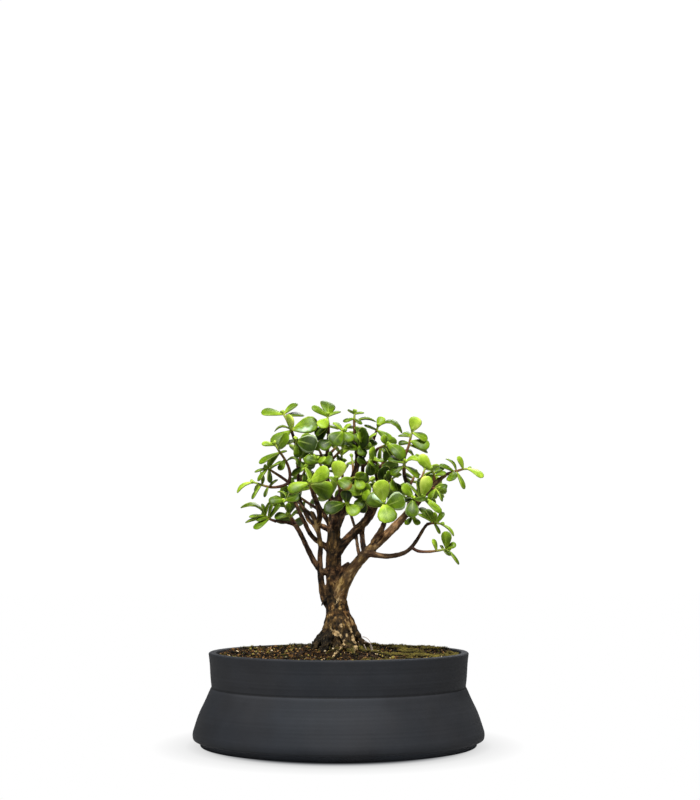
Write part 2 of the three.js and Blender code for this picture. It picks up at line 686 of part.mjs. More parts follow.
// A closed tapering stem along a curve, from share t0 to t1, with its section turned along with it.
// radius(t, angle) is its outline, and its end may be drawn out to a point.
function sweep(curve, t0, t1, steps, sides, radius, point = 0) {
  const points = [];
  const faces = [];
  const across = new THREE.Vector3(1, 0, 0);
  if (Math.abs(directionAt(curve, t0).x) > 0.9) across.set(0, 1, 0);
  for (let i = 0; i <= steps; i++) {
    const t = THREE.MathUtils.lerp(t0, t1, i / steps);
    const middle = curve.getPoint(t);
    const ahead = directionAt(curve, t);
    across.addScaledVector(ahead, -across.dot(ahead)).normalize();
    const third = new THREE.Vector3().crossVectors(ahead, across);
    for (let j = 0; j < sides; j++) {
      const angle = (2 * Math.PI * j) / sides;
      const r = radius(t, angle);
      const edge = middle.clone().addScaledVector(across, r * Math.cos(angle));
      points.push(edge.addScaledVector(third, r * Math.sin(angle)).toArray());
    }
  }
  const start = points.push(curve.getPoint(t0).toArray()) - 1;
  const tip = curve.getPoint(t1).addScaledVector(directionAt(curve, t1), point);
  const end = points.push(tip.toArray()) - 1;
  for (let j = 0; j < sides; j++) {
    const next = (j + 1) % sides;
    faces.push([start, next, j]);
    faces.push([end, steps * sides + j, steps * sides + next]);
    for (let i = 0; i < steps; i++) {
      const a = i * sides + j;
      const b = i * sides + next;
      faces.push([a, b, b + sides]);
      faces.push([a, b + sides, a + sides]);
    }
  }
  return solidOf(closedGeometry(points, faces));
}

// The pot: a thrown round pot with a foot ring, a flared skirt, a crease and a plain band to the rim
function potSolid() {
  const half = POT_DIAMETER / 2;
  const outside = [
    [FOOT_RADIUS - FOOT_RING_WIDTH, 0], [FOOT_RADIUS, 0], [FOOT_RADIUS + 0.2, FOOT_HEIGHT],
    [half - 0.8, FOOT_HEIGHT + 0.6], [half, 8], [half - 1.9, 14.2], [half - 4.6, 22.3],
    [half - 8.7, 30.5], [CREASE_RADIUS + 0.8, CREASE_HEIGHT - 1.2], [CREASE_RADIUS, CREASE_HEIGHT],
    [CREASE_RADIUS + 0.8, 46], [RIM_RADIUS - 0.9, 55], [RIM_RADIUS, POT_HEIGHT - 0.8],
    [RIM_RADIUS - 0.8, POT_HEIGHT],
  ];
  const inside = [
    ...innerWall(POT_HEIGHT, 0), [DRAIN_HOLE_RADIUS, FLOOR_TOP], [DRAIN_HOLE_RADIUS, FLOOR_BOTTOM],
    [FOOT_RADIUS - FOOT_RING_WIDTH - 1, FLOOR_BOTTOM],
  ];
  const profile = [...outside, ...inside, outside[0]].map(([r, z]) => new THREE.Vector2(r, z));
  return solidOf(new THREE.LatheGeometry(profile, POT_SIDES).rotateX(Math.PI / 2));
}

// The inner wall of the pot from a height under the rim down to the floor, drawn in by a gap
function innerWall(top, gap) {
  const half = POT_DIAMETER / 2;
  const neck = [CREASE_RADIUS - NECK_WALL, CREASE_HEIGHT + 2];
  const share = (top - neck[1]) / (POT_HEIGHT - neck[1]);
  const topRadius = THREE.MathUtils.lerp(neck[0], RIM_RADIUS - RIM_WALL, share);
  const wall = [[topRadius, top], neck, [half - 9.6, 22], [half - 8, 14], [half - 12, FLOOR_TOP + gap]];
  return wall.map(([r, z]) => [r - gap, z]);
}

// A square of plastic mesh over the drain hole
function boxSolid(x, y, z, wide, deep, high) {
  return solidOf(new THREE.BoxGeometry(wide, deep, high).translate(x, y, z));
}

function meshSolid() {
  const middle = FLOOR_TOP + CLEARANCE + MESH_THICKNESS / 2;
  let plate = boxSolid(0, 0, middle, MESH_SIDE, MESH_SIDE, MESH_THICKNESS);
  for (let i = 0; i < MESH_HOLES; i++) {
    for (let j = 0; j < MESH_HOLES; j++) {
      const x = (i - (MESH_HOLES - 1) / 2) * MESH_PITCH;
      const y = (j - (MESH_HOLES - 1) / 2) * MESH_PITCH;
      plate = plate.subtract(boxSolid(x, y, middle, MESH_HOLE_SIDE, MESH_HOLE_SIDE, 2 * MESH_THICKNESS));
    }
  }
  return plate;
}

// The height of the soil: a low mound round the trunk, lower at the right, with coarse grit
function soilHeight(x, y) {
  const r = Math.hypot(x, y);
  const mound = Math.exp(-((r / SOIL_MOUND_RADIUS) ** 2));
  const lower = 1 - (0.3 * x) / (r + 10);
  const grit = Math.sin(1.9 * x + 0.7 * y) + Math.sin(1.3 * y - 0.9 * x + 2) + Math.sin(0.6 * x + 2.3 * y);
  return SOIL_EDGE_HEIGHT + SOIL_MOUND_RISE * mound * lower + (GRIT_RELIEF * grit) / 3;
}

function soilSolid(trunkPit) {
  const wall = innerWall(SOIL_EDGE_HEIGHT, CLEARANCE);
  const edge = wall[0][0];
  const top = [];
  for (let i = 0; i < SOIL_RINGS; i++) top.push([(edge * i) / SOIL_RINGS, SOIL_EDGE_HEIGHT]);
  const profile = [...top, ...wall, [0, FLOOR_TOP + CLEARANCE]].reverse();
  const points = profile.map(([r, z]) => new THREE.Vector2(r, z));
  const body = new THREE.LatheGeometry(points, POT_SIDES).rotateX(Math.PI / 2);
  const place = body.attributes.position;
  for (let i = 0; i < place.count; i++) {
    if (place.getZ(i) > SOIL_EDGE_HEIGHT - 1) {
      place.setZ(i, soilHeight(place.getX(i), place.getY(i)));
    }
  }
  const pocketSide = MESH_SIDE + 2 * CLEARANCE;
  const pocketTop = FLOOR_TOP + MESH_THICKNESS + 2 * CLEARANCE;
  const pocket = boxSolid(0, 0, FLOOR_TOP, pocketSide, pocketSide, 2 * (pocketTop - FLOOR_TOP));
  return solidOf(body).subtract(pocket).subtract(trunkPit);
}

// The trunk's outline: a flare of root lobes at its foot and slow knots above it
function trunkOutline(height, angle) {
  const flare = THREE.MathUtils.smoothstep(88 - height, 0, 24);
  const lobes = 0.1 * Math.cos(5 * angle + 0.6) + 0.05 * Math.cos(8 * angle + 2);
  const knots = 0.04 * Math.sin(2 * angle + 0.21 * height) + 0.03 * Math.sin(3 * angle - 0.33 * height);
  return 1 + flare * lobes + knots;
}

const trunkCurve = curveOf(LIMBS.trunk);
const trunkRadii = LIMBS.trunk.map((row) => row[3]);
const TRUNK_STEP = 0.04;
const TRUNK_FOOT_STEPS = 6;
const TRUNK_THICK_STEPS = 17;

function trunkRadius(t, angle) {
  return radiusAt(trunkRadii, t) * trunkOutline(trunkCurve.getPoint(t).z, angle);
}

// The roots that run from the flare into the soil
function groundRoots(margin) {
  return GROUND_ROOTS.map((rows) =>
    sweep(curveOf(rows), 0, 1, 3, 5, (t) => radiusAt(GROUND_ROOT_RADII, t) + margin),
  );
}

// The foot of the trunk and its roots with a margin all round, which the soil is pressed against
function rootPit() {
  const outline = (t, angle) => trunkRadius(t, angle) + ROOT_PIT_GAP;
  const end = TRUNK_FOOT_STEPS * TRUNK_STEP;
  const foot = sweep(trunkCurve, 0, end, TRUNK_FOOT_STEPS, TRUNK_SIDES, outline);
  return joined([foot, ...groundRoots(ROOT_PIT_GAP)]);
}

// Straight pieces of every limb and shoot, which leaves stay clear of
const pieces = [];
for (const rows of Object.values(LIMBS)) {
  for (let i = 0; i + 1 < rows.length; i++) {
    const radius = Math.max(rows[i][3], rows[i + 1][3]);
    pieces.push({ from: seen(...rows[i]), to: seen(...rows[i + 1]), radius, owner: "wood" });
  }
}
const shoots = Object.entries(SHOOTS).map(([name, shoot]) => {
  return { name, ...shoot, curve: curveOf(shoot.stem) };
});
const SHOOT_STEPS = 6;
for (const { name, curve } of shoots) {
  for (let i = 0; i < SHOOT_STEPS; i++) {
    const from = curve.getPoint(i / SHOOT_STEPS);
    const to = curve.getPoint((i + 1) / SHOOT_STEPS);
    pieces.push({ from, to, radius: (SHOOT_BASE_RADIUS + SHOOT_TIP_RADIUS) / 2, owner: name });
  }
}

function distanceToPiece(point, piece) {
  const line = new THREE.Line3(piece.from, piece.to);
  const near = line.closestPointToPoint(point, true, new THREE.Vector3());
  return near.distanceTo(point) - piece.radius;
}

// Where a shoot stops being wood: as soon as its stem is clear of every limb
const START_STEPS = 60;
for (const shoot of shoots) {
  let i = 1;
  const isInWood = (piece) =>
    piece.owner === "wood" && distanceToPiece(shoot.curve.getPoint(i / START_STEPS), piece) < WOOD_GAP;
  while (i < START_STEPS / 2 && pieces.some(isInWood)) i++;
  shoot.woodEnd = i / START_STEPS;
  shoot.firstLeaf = shoot.woodEnd + FIRST_LEAF / shoot.curve.getLength();
}

// Half the breadth of a leaf along its length, over its greatest half breadth
function leafWidth(s) {
  const held = THREE.MathUtils.clamp(s, 0, 1);
  return (held ** 0.7 * Math.sqrt(1 - held ** 2.2)) / 0.579;
}

// A point of a leaf: along its length, across, and off its middle face
function leafPoint(leaf, s, across, lift = 0) {
  const point = leaf.root.clone().addScaledVector(leaf.axis, s * leaf.length);
  point.addScaledVector(leaf.side, leaf.half * leafWidth(s) * across);
  return point.addScaledVector(leaf.face, leaf.rise * leaf.length * 4 * s * (1 - s) + lift);
}

// A leaf set where it is seen, its tip moved by a step along the line of sight
function seenLeaf(shoot, row, step) {
  const [share, right, depth, height, turn, breadth, rise = LEAF_RISE] = row;
  const root = shoot.curve.getPoint(Math.max(share, shoot.firstLeaf));
  const axis = seen(right, depth + step, height).sub(root);
  const length = axis.length();
  axis.normalize();
  const facing = TO_EYE.clone().addScaledVector(axis, -axis.dot(TO_EYE)).normalize();
  const upward = new THREE.Vector3().crossVectors(axis, facing);
  if (upward.z < 0) upward.negate();
  const angle = THREE.MathUtils.degToRad(turn);
  const face = facing.multiplyScalar(Math.cos(angle)).addScaledVector(upward, Math.sin(angle));
  const side = new THREE.Vector3().crossVectors(face, axis);
  const half = (length * breadth * SEEN_LEAF_BREADTH) / 2;
  return { root, axis, side, face, length: length * SEEN_LEAF_LENGTH, half, rise };
}

// A leaf of a pair, opened from the stem by one angle and turned round it by another
function pairLeaf(root, ahead, opening, around, twist, length) {
  const start = Math.abs(ahead.z) < 0.8 ? UP : new THREE.Vector3(1, 0, 0);
  const first = start.clone().addScaledVector(ahead, -start.dot(ahead)).normalize();
  const second = new THREE.Vector3().crossVectors(ahead, first);
  const outward = first.multiplyScalar(Math.cos(around)).addScaledVector(second, Math.sin(around));
  const axis = ahead.clone().multiplyScalar(Math.cos(opening)).addScaledVector(outward, Math.sin(opening));
  const flat = ahead.clone().multiplyScalar(Math.sin(opening)).addScaledVector(outward, -Math.cos(opening));
  const level = new THREE.Vector3().crossVectors(flat, axis);
  const face = flat.clone().multiplyScalar(Math.cos(twist)).addScaledVector(level, Math.sin(twist));
  const side = level.multiplyScalar(Math.cos(twist)).addScaledVector(flat, -Math.sin(twist));
  return { root, axis, side, face, length, half: (length * PAIR_LEAF_BREADTH) / 2, rise: LEAF_RISE };
}

// Whether a point lies in a leaf or closer to it than the gap
function touchesLeaf(point, leaf) {
  const from = point.clone().sub(leaf.root);
  const s = from.dot(leaf.axis) / leaf.length;
  if (s < SUNK_SHARE || s > 1 + LEAF_GAP / leaf.length) return false;
  if (Math.abs(from.dot(leaf.side)) > leaf.half * leafWidth(s) + LEAF_GAP) return false;
  const lift = from.dot(leaf.face) - leaf.rise * leaf.length * 4 * s * (1 - s);
  return Math.abs(lift) < LEAF_THICKNESS / 2 + LEAF_GAP;
}

// Whether a leaf would close one of the places where the sky shows, unless it is seen edge on
const EDGE_ON = 0.15;
function hidesSky(leaf, spots) {
  return GAPS.some(([right, height, radius]) => {
    const nearSpot = spots.some((spot) => {
      const k = 1 + spot.y / EYE_DISTANCE;
      const v = EYE_HEIGHT + (spot.z - EYE_HEIGHT) / k;
      return Math.hypot(spot.x / k - right, v - height) < radius + SKY_GAP;
    });
    if (nearSpot || Math.abs(leaf.face.y) <= EDGE_ON) return nearSpot;
    const sky = seen(right, spots[MIDDLE_SPOT].y, height);
    sky.y += leaf.root.clone().sub(sky).dot(leaf.face) / leaf.face.y;
    const from = sky.sub(leaf.root);
    const s = from.dot(leaf.axis) / leaf.length;
    return s > 0 && s < 1 && Math.abs(from.dot(leaf.side)) < leaf.half * leafWidth(s);
  });
}

const leaves = [];

// Whether a leaf is clear of the soil, the sky gaps, the stems and every leaf so far
function isClear(leaf, isSeen) {
  const spots = SPOTS.map(([s, across]) => leafPoint(leaf, s, across));
  if (spots.some((spot) => spot.z < LOWEST_LEAF)) return false;
  if (!isSeen && hidesSky(leaf, spots)) return false;
  const onStem = pieces.some((piece) =>
    spots.some((spot, i) => {
      const share = SPOTS[i][0];
      if (piece.owner === leaf.owner && share < OWN_SHARE) return false;
      if (piece.owner === "wood" && share < LIMB_SHARE) return false;
      return distanceToPiece(spot, piece) < STEM_GAP;
    }),
  );
  if (onStem) return false;
  const isFree = (other, share) => other.owner === leaf.owner && (share < OWN_SHARE || isSeen);
  return !leaves.some((other) =>
    SPOTS.some(([share], i) => {
      if (i === 0 || isFree(other, share)) return false;
      return touchesLeaf(spots[i], other) || touchesLeaf(other.spots[i], leaf);
    }),
  );
}

function place(leaf, isSeen) {
  if (!isClear(leaf, isSeen)) return false;
  leaf.spots = SPOTS.map(([s, across]) => leafPoint(leaf, s, across));
  leaves.push(leaf);
  return true;
}

// The leaves that are seen are set first, and the pairs then grow in the room that is left
for (const shoot of shoots) {
  for (const row of shoot.leaves ?? []) {
    TIP_STEPS.some((step) => {
      const leaf = { ...seenLeaf(shoot, row, step), owner: shoot.name };
      return leaf.length <= LONGEST_LEAF && place(leaf, true);
    });
  }
}
// Pairs of leaves open wider and grow a little smaller down the shoot, each with a small seeded draw
const OPENINGS = [56, 66, 74, 74, 74];
const OPENING_DRAW = 7;
const TURN_DRAW = 12;
const TWIST_DRAW = 14;
const LENGTH_DRAW = [0.88, 1.06];
const LAST_PAIR_SHARE = 0.97;
const FULL_SIZE_PAIRS = 3;
const LOW_PAIR_SIZE = 0.92;
shoots.forEach((shoot, index) => {
  if (!shoot.pairs) return;
  const { count, length, roll, bare } = shoot.pairs;
  const draw = drawFrom(17 + 31 * index);
  for (let fromTip = 0; fromTip < count; fromTip++) {
    const first = Math.max(bare, shoot.firstLeaf);
    const t = THREE.MathUtils.lerp(LAST_PAIR_SHARE, first, fromTip / (count - 1));
    const root = shoot.curve.getPoint(t);
    const ahead = directionAt(shoot.curve, t);
    const turn = roll + 90 * fromTip + draw(-TURN_DRAW, TURN_DRAW);
    for (const half of [0, 180]) {
      const size = length * draw(...LENGTH_DRAW) * (fromTip < FULL_SIZE_PAIRS ? 1 : LOW_PAIR_SIZE);
      const opening = OPENINGS[fromTip] + draw(-OPENING_DRAW, OPENING_DRAW);
      const twist = THREE.MathUtils.degToRad(draw(-TWIST_DRAW, TWIST_DRAW));
      GIVE_WAY.some(([opened, turned, smaller]) => {
        const open = THREE.MathUtils.degToRad(opening + opened);
        const around = THREE.MathUtils.degToRad(turn + half + turned);
        const leaf = pairLeaf(root, ahead, open, around, twist, size * smaller);
        return place({ ...leaf, owner: shoot.name }, false);
      });
    }
  }
});

// A leaf: a thick blade with an egg-shaped outline, crowned on both faces, its root sunk into the stem
function leafSolid(leaf) {
  const outline = [[0, 0], [0.32, 0.72], [0.68, 1.06], [0.96, 1], [0.96, -1], [0.68, -1.06], [0.32, -0.72]];
  const points = outline.map(([s, across]) => leafPoint(leaf, s, across).toArray());
  const upper = points.push(leafPoint(leaf, 0.5, 0, LEAF_THICKNESS / 2).toArray()) - 1;
  const lower = points.push(leafPoint(leaf, 0.5, 0, -LEAF_THICKNESS / 2).toArray()) - 1;
  const faces = outline.flatMap((_, i) => {
    const next = (i + 1) % outline.length;
    return [[upper, next, i], [lower, i, next]];
  });
  return solidOf(closedGeometry(points, faces));
}

function shootRadius(t) {
  return THREE.MathUtils.lerp(SHOOT_BASE_RADIUS, SHOOT_TIP_RADIUS, t);
}

function shootSolid(shoot) {
  const length = shoot.curve.getLength();
  const start = shoot.woodEnd + CLEARANCE / length;
  const steps = Math.max(1, Math.round(((1 - start) * length) / SHOOT_STEP));
  const stem = sweep(shoot.curve, start, 1, steps, SHOOT_SIDES, shootRadius, BUD_LENGTH);
  const own = leaves.filter((leaf) => leaf.owner === shoot.name);
  return joined([stem, ...own.map(leafSolid)]);
}

// The wood: trunk, roots, limbs, and the short woody start of every shoot, grown as one
function woodSolid() {
  const thickEnd = TRUNK_THICK_STEPS * TRUNK_STEP;
  const thick = sweep(trunkCurve, 0, thickEnd, TRUNK_THICK_STEPS, TRUNK_SIDES, trunkRadius);
  const thin = sweep(trunkCurve, thickEnd - TRUNK_STEP / 2, 1, 7, 6, (t) => radiusAt(trunkRadii, t));
  const limbs = Object.entries(LIMBS).filter(([name]) => name !== "trunk");
  const grown = limbs.map(([, rows]) => {
    const curve = curveOf(rows);
    const radii = rows.map((row) => row[3]);
    const steps = Math.max(2, Math.round(curve.getLength() / LIMB_STEP));
    const sides = radii[0] > 3 ? 7 : 6;
    return sweep(curve, 0, 1, steps, radii[0] > 2 ? sides : 5, (t) => radiusAt(radii, t));
  });
  const starts = shoots.map((shoot) => sweep(shoot.curve, 0, shoot.woodEnd, 1, SHOOT_SIDES, shootRadius));
  return joined([thick, thin, ...groundRoots(0), ...grown, ...starts]);
}

// Colours and finishes
const potClay = new THREE.MeshStandardMaterial({ color: 0x35373b, roughness: 0.62, metalness: 0 });
const bark = new THREE.MeshStandardMaterial({ color: 0x4a3524, roughness: 0.9, metalness: 0 });
const soilMix = new THREE.MeshStandardMaterial({ color: 0x4b3d22, roughness: 1, metalness: 0 });
const blackPlastic = new THREE.MeshStandardMaterial({ color: 0x1c1c1c, roughness: 0.6, metalness: 0 });
const jadeLeaf = new THREE.MeshStandardMaterial({ color: 0x6f9a1e, roughness: 0.42, metalness: 0 });

const filledPot = new THREE.Group();
filledPot.add(meshOf("pot", potSolid(), potClay));
filledPot.add(meshOf("drain_mesh", meshSolid(), blackPlastic));
filledPot.add(meshOf("soil", soilSolid(rootPit()), soilMix));

const tree = new THREE.Group();
tree.add(meshOf("wood", woodSolid(), bark));
for (const shoot of shoots) {
  tree.add(meshOf("shoot_" + shoot.name, shootSolid(shoot), jadeLeaf));
}

const bonsai = new THREE.Group();
bonsai.add(filledPot, tree);

export default bonsai;
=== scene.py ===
"""A dwarf jade bonsai in a round dark clay pot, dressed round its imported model.

Lengths are millimetres until a mesh, a lamp or the camera is made, which hold metres.
+Z is up, the eye looks along +Y, and the origin is on the ground under the middle of the pot.
"""

import math

import bpy
import numpy as np
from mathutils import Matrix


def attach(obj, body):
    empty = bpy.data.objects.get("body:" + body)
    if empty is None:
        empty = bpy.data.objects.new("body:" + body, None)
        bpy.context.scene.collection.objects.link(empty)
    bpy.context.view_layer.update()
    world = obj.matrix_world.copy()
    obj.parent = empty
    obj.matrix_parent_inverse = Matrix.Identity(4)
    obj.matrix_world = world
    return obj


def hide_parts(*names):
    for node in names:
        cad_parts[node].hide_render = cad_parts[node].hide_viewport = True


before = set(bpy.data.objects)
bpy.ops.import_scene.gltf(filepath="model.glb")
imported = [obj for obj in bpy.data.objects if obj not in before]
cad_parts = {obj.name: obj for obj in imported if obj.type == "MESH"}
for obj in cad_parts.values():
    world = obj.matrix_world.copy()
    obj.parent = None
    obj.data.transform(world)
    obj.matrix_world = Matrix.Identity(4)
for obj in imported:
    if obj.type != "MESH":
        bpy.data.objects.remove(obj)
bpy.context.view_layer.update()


# The camera.
# The eye stands a little over a metre in front of the pot, as high as the lower leaves, and looks
# upwards, so that the bonsai fills the lower half of the picture.
MM = 0.001
EYE_DISTANCE = 1083
EYE_HEIGHT = 132.5
EYE_TILT = 5.5
EYE_TURN = -0.41
FOCAL_LENGTH = 70
SENSOR_WIDTH = 36


def placed(name, data):
    """A new object in the scene, at the origin."""
    made = bpy.data.objects.new(name, data)
    bpy.context.scene.collection.objects.link(made)
    return made


lens = bpy.data.cameras.new("eye")
lens.lens = FOCAL_LENGTH
lens.sensor_width = SENSOR_WIDTH
camera = placed("eye", lens)
camera.location = (0, -EYE_DISTANCE * MM, EYE_HEIGHT * MM)
camera.rotation_euler = (math.radians(90 + EYE_TILT), 0, math.radians(EYE_TURN))
bpy.context.scene.camera = camera
bpy.context.scene.view_settings.view_transform = "Standard"


# The studio.
# The pot stands on a white table, with a large softbox high in front, a weak one on the right, one
# behind, and white walls all round.
TABLE_RADIUS = 4000
TABLE_SIDES = 96
# How bright the walls are as light on the object, as a reflection in it, and to the eye
WALL_LIGHT = 0.14
WALL_GLOSS = 0.045
WALL_LOOK = 1.02
SOFTBOXES = {
    "key": {"place": (-160, -760, 1300), "side": 500, "watts": 36},
    "fill": {"place": (900, -600, 500), "side": 600, "watts": 0.4},
    "back": {"place": (250, 900, 900), "side": 600, "watts": 8},
}
AIM = (0, 0, 150)


def linear(colour):
    """A colour written as sRGB hex in linear light: ((c + 0.055) / 1.055)^2.4, or c / 12.92 if dark."""
    shares = [((colour >> shift) & 255) / 255 for shift in (16, 8, 0)]
    return (*(((c + 0.055) / 1.055) ** 2.4 if c > 0.04045 else c / 12.92 for c in shares), 1)


def add(tree, kind, inputs=None, stops=None, **settings):
    """A shader node with its settings. inputs gives a socket, by its number or name, a value or a link
    from an output or from a node's first output, and stops are a colour ramp's places and colours."""
    made = tree.nodes.new("ShaderNode" + kind)
    for name, value in settings.items():
        setattr(made, name, value)
    for key, value in (inputs or {}).items():
        socket = next(s for i, s in enumerate(made.inputs) if s.enabled and key in (i, s.name))
        if isinstance(value, bpy.types.Node):
            value = next(output for output in value.outputs if output.enabled)
        if isinstance(value, bpy.types.NodeSocket):
            tree.links.new(value, socket)
        else:
            socket.default_value = value
    if stops:
        ramp = made.color_ramp.elements
        while len(ramp) < len(stops):
            ramp.new(0.5)
        for element, (place, colour) in zip(ramp, stops):
            element.position = place
            element.color = linear(colour)
    return made


def new_material(name):
    """An empty material, the tree that its nodes are added to, and the place on a piece that they read."""
    material = bpy.data.materials.new(name)
    material.use_nodes = True
    material.node_tree.nodes.clear()
    return material, material.node_tree, add(material.node_tree, "TexCoord").outputs["Object"]


def surface(name, points, faces, *materials):
    """A smooth mesh object from points in millimetres and faces, which are arrays of point numbers with
    as many columns as corners."""
    mesh = bpy.data.meshes.new(name)
    mesh.from_pydata(points * MM, [], [face for part in faces for face in part.tolist()])
    mesh.shade_smooth()
    for material in materials:
        mesh.materials.append(material)
    return placed(name, mesh)


def table_top():
    """A flat disc: a ring of points r (cos a, sin a) round its middle."""
    a = np.linspace(0, 2 * math.pi, TABLE_SIDES, endpoint=False)
    ring = np.stack([np.cos(a), np.sin(a), 0 * a], 1) * TABLE_RADIUS
    here = np.arange(TABLE_SIDES)
    fan = np.stack([here, (here + 1) % TABLE_SIDES, np.full(TABLE_SIDES, TABLE_SIDES)], 1)
    return np.concatenate([ring, [[0, 0, 0]]]), [fan]


# White acrylic, matt: to the eye it is a plain white glow, with a painted contact shadow round the pot's
# foot, but it sheds no more light on the pot than a light grey board.
# The painted shadow is a ring of colours by their distance from the middle, drawn in a little at the sides
CONTACT_DRAWN_IN = (1.18, 1, 1)
CONTACT_REACH = 200
PAINTED_CONTACT_SHADOW = [
    (95, 0x1C1D20), (99, 0x4E4F52), (104, 0xA4A5A7), (111, 0xDADADA), (124, 0xF0F0F0), (150, 0xFFFFFF),
]
white_acrylic, tree, place = new_material("white_acrylic")
path = add(tree, "LightPath")
drawn_in = add(tree, "Mapping", {"Vector": place, "Scale": CONTACT_DRAWN_IN})
away = add(tree, "VectorMath", {0: drawn_in}, operation="LENGTH")
share = add(tree, "MapRange", {"Value": away, "From Max": CONTACT_REACH * MM})
shade = add(tree, "ValToRGB", {0: share}, stops=[
    (distance / CONTACT_REACH, colour) for distance, colour in PAINTED_CONTACT_SHADOW
])
acrylic = add(tree, "BsdfDiffuse", {"Color": linear(0xBEBEBE), "Roughness": 0.9})
# To the eye the table glows white, and the glow's colour holds the painted contact shadow
glow_with_painted_shadow = add(tree, "Emission", {"Color": shade, "Strength": 1})
chosen = add(tree, "MixShader", {0: path.outputs["Is Camera Ray"], 1: acrylic, 2: glow_with_painted_shadow})
add(tree, "OutputMaterial", {"Surface": chosen})

table = surface("white_table", *table_top(), white_acrylic)

for name, box in SOFTBOXES.items():
    lamp = bpy.data.lights.new(name, "AREA")
    lamp.size = box["side"] * MM
    lamp.energy = box["watts"]
    softbox = placed(name, lamp)
    softbox.location = np.array(box["place"]) * MM
    x, y, z = np.subtract(box["place"], AIM)
    softbox.rotation_euler = (math.atan2(math.hypot(x, y), z), 0, math.atan2(x, -y))

# The walls look plain white, and light the object more softly than they look
walls = bpy.data.worlds.new("white_walls")
walls.use_nodes = True
tree = walls.node_tree
tree.nodes.clear()
path = add(tree, "LightPath")
light, gloss, look = (
    add(tree, "Background", {"Color": linear(0xFFFFFF), "Strength": strength})
    for strength in (WALL_LIGHT, WALL_GLOSS, WALL_LOOK)
)
lighting = add(tree, "MixShader", {0: path.outputs["Is Glossy Ray"], 1: light, 2: gloss})
chosen = add(tree, "MixShader", {0: path.outputs["Is Camera Ray"], 1: lighting, 2: look})
add(tree, "OutputWorld", {"Surface": chosen})
bpy.context.scene.world = walls


# The pot.
# A round bonsai pot, thrown on a wheel in dark stoneware clay and fired without a glaze: a foot ring,
# a skirt that flares out over it, a turned crease, and a plain upright band up to a flat rim.
POT_SIDES = 240
POT_STEP = 1.1
STEPPED_BEYOND = 80
ROUNDING_STEPS = 5
# Corners of the wall's section: radius, height, and how far from the corner its rounding begins
POT_OUTSIDE = [
    (85.4, 0, 0.8), (94.4, 0, 0.8), (94.6, 3.7, 0.4), (99.2, 4.3, 1.2), (100, 8, 2.4), (98.1, 14.2, 3.8),
    (95.4, 22.3, 4), (91.3, 30.5, 4), (88, 38.1, 0.7), (87.2, 39.3, 0.7), (88, 46, 3), (88.5, 55, 3),
    (89.4, 62, 0.5), (88.6, 62.8, 0.4),
]
POT_INSIDE = [
    (84.4, 62.8, 1), (81.6, 41.3, 4), (90.4, 22, 4), (92, 14, 3), (88, 10, 2), (6, 10, 1), (6, 4, 1),
    (84.4, 4, 1),
]
CREASE_HEIGHT = 39.3
THROWING_RIDGE = 2.6
THROWING_DEPTH = 0.05
WALL_WOBBLE = 0.12
WOBBLE_SIZE = 22
WOBBLE_DRAWN_IN = (1, 1, 2.5)
FOOT_HEIGHT = 6


def value_noise(points, size, seed):
    """Numbers from 0 to 1 that change smoothly over size: a draw for each corner of the cube round a
    point, blended by the point's place between them, (3 - 2 p) p p along each edge."""
    cell = np.floor(points / size).astype(np.int64)
    part = points / size - cell
    part = part * part * (3 - 2 * part)
    total = np.zeros(len(points))
    for corner in np.ndindex(2, 2, 2):
        mixed = (cell + corner) @ np.array([73856093, 19349663, 83492791]) + seed * 2654435761
        mixed = (mixed ^ (mixed >> 13)) * 1274126177
        drawn = ((mixed ^ (mixed >> 16)) & 0xFFFF) / 0xFFFF
        total += drawn * np.prod(np.where(corner, part, 1 - part), axis=1)
    return total


def rounded(corners):
    """A closed outline with each corner P replaced by the curve (1-u)^2 A + 2u(1-u) P + u^2 B, where A
    and B lie the corner's rounding before and after it."""
    place = np.array([corner[:2] for corner in corners], float)
    reach = np.array([corner[2] for corner in corners], float)[:, None]
    before = np.roll(place, 1, axis=0) - place
    after = np.roll(place, -1, axis=0) - place
    start = place + before / np.linalg.norm(before, axis=1, keepdims=True) * reach
    end = place + after / np.linalg.norm(after, axis=1, keepdims=True) * reach
    u = np.linspace(0, 1, ROUNDING_STEPS + 1)[None, :, None]
    bends = (1 - u) ** 2 * start[:, None] + 2 * u * (1 - u) * place[:, None] + u**2 * end[:, None]
    return bends.reshape(-1, 2)


def stepped(outline, step, least_radius):
    """The outline with more points, so that no stretch outside least_radius is longer than step."""
    after = np.roll(outline, -1, axis=0)
    runs = []
    for here, there in zip(outline, after):
        length = np.linalg.norm(there - here)
        pieces = max(1, math.ceil(length / step)) if here[0] > least_radius else 1
        runs.append(here + (there - here) * (np.arange(pieces) / pieces)[:, None])
    return np.concatenate(runs)


def rolled(rows, columns, is_ring=True):
    """The faces of a grid whose rows close round on themselves, and whose last row meets the first one
    if it is a ring."""
    row, column = np.meshgrid(np.arange(rows if is_ring else rows - 1), np.arange(columns), indexing="ij")
    ahead, beside = (row + 1) % rows, (column + 1) % columns
    corners = [(row, column), (row, beside), (ahead, beside), (ahead, column)]
    return np.stack([a * columns + b for a, b in corners], -1).reshape(-1, 4)


def attribute(piece, name, values):
    """A number for each point of a piece, which its material reads by name."""
    layer = piece.data.attributes.new(name, "FLOAT", "POINT")
    layer.data.foreach_set("value", np.asarray(values, np.float32))


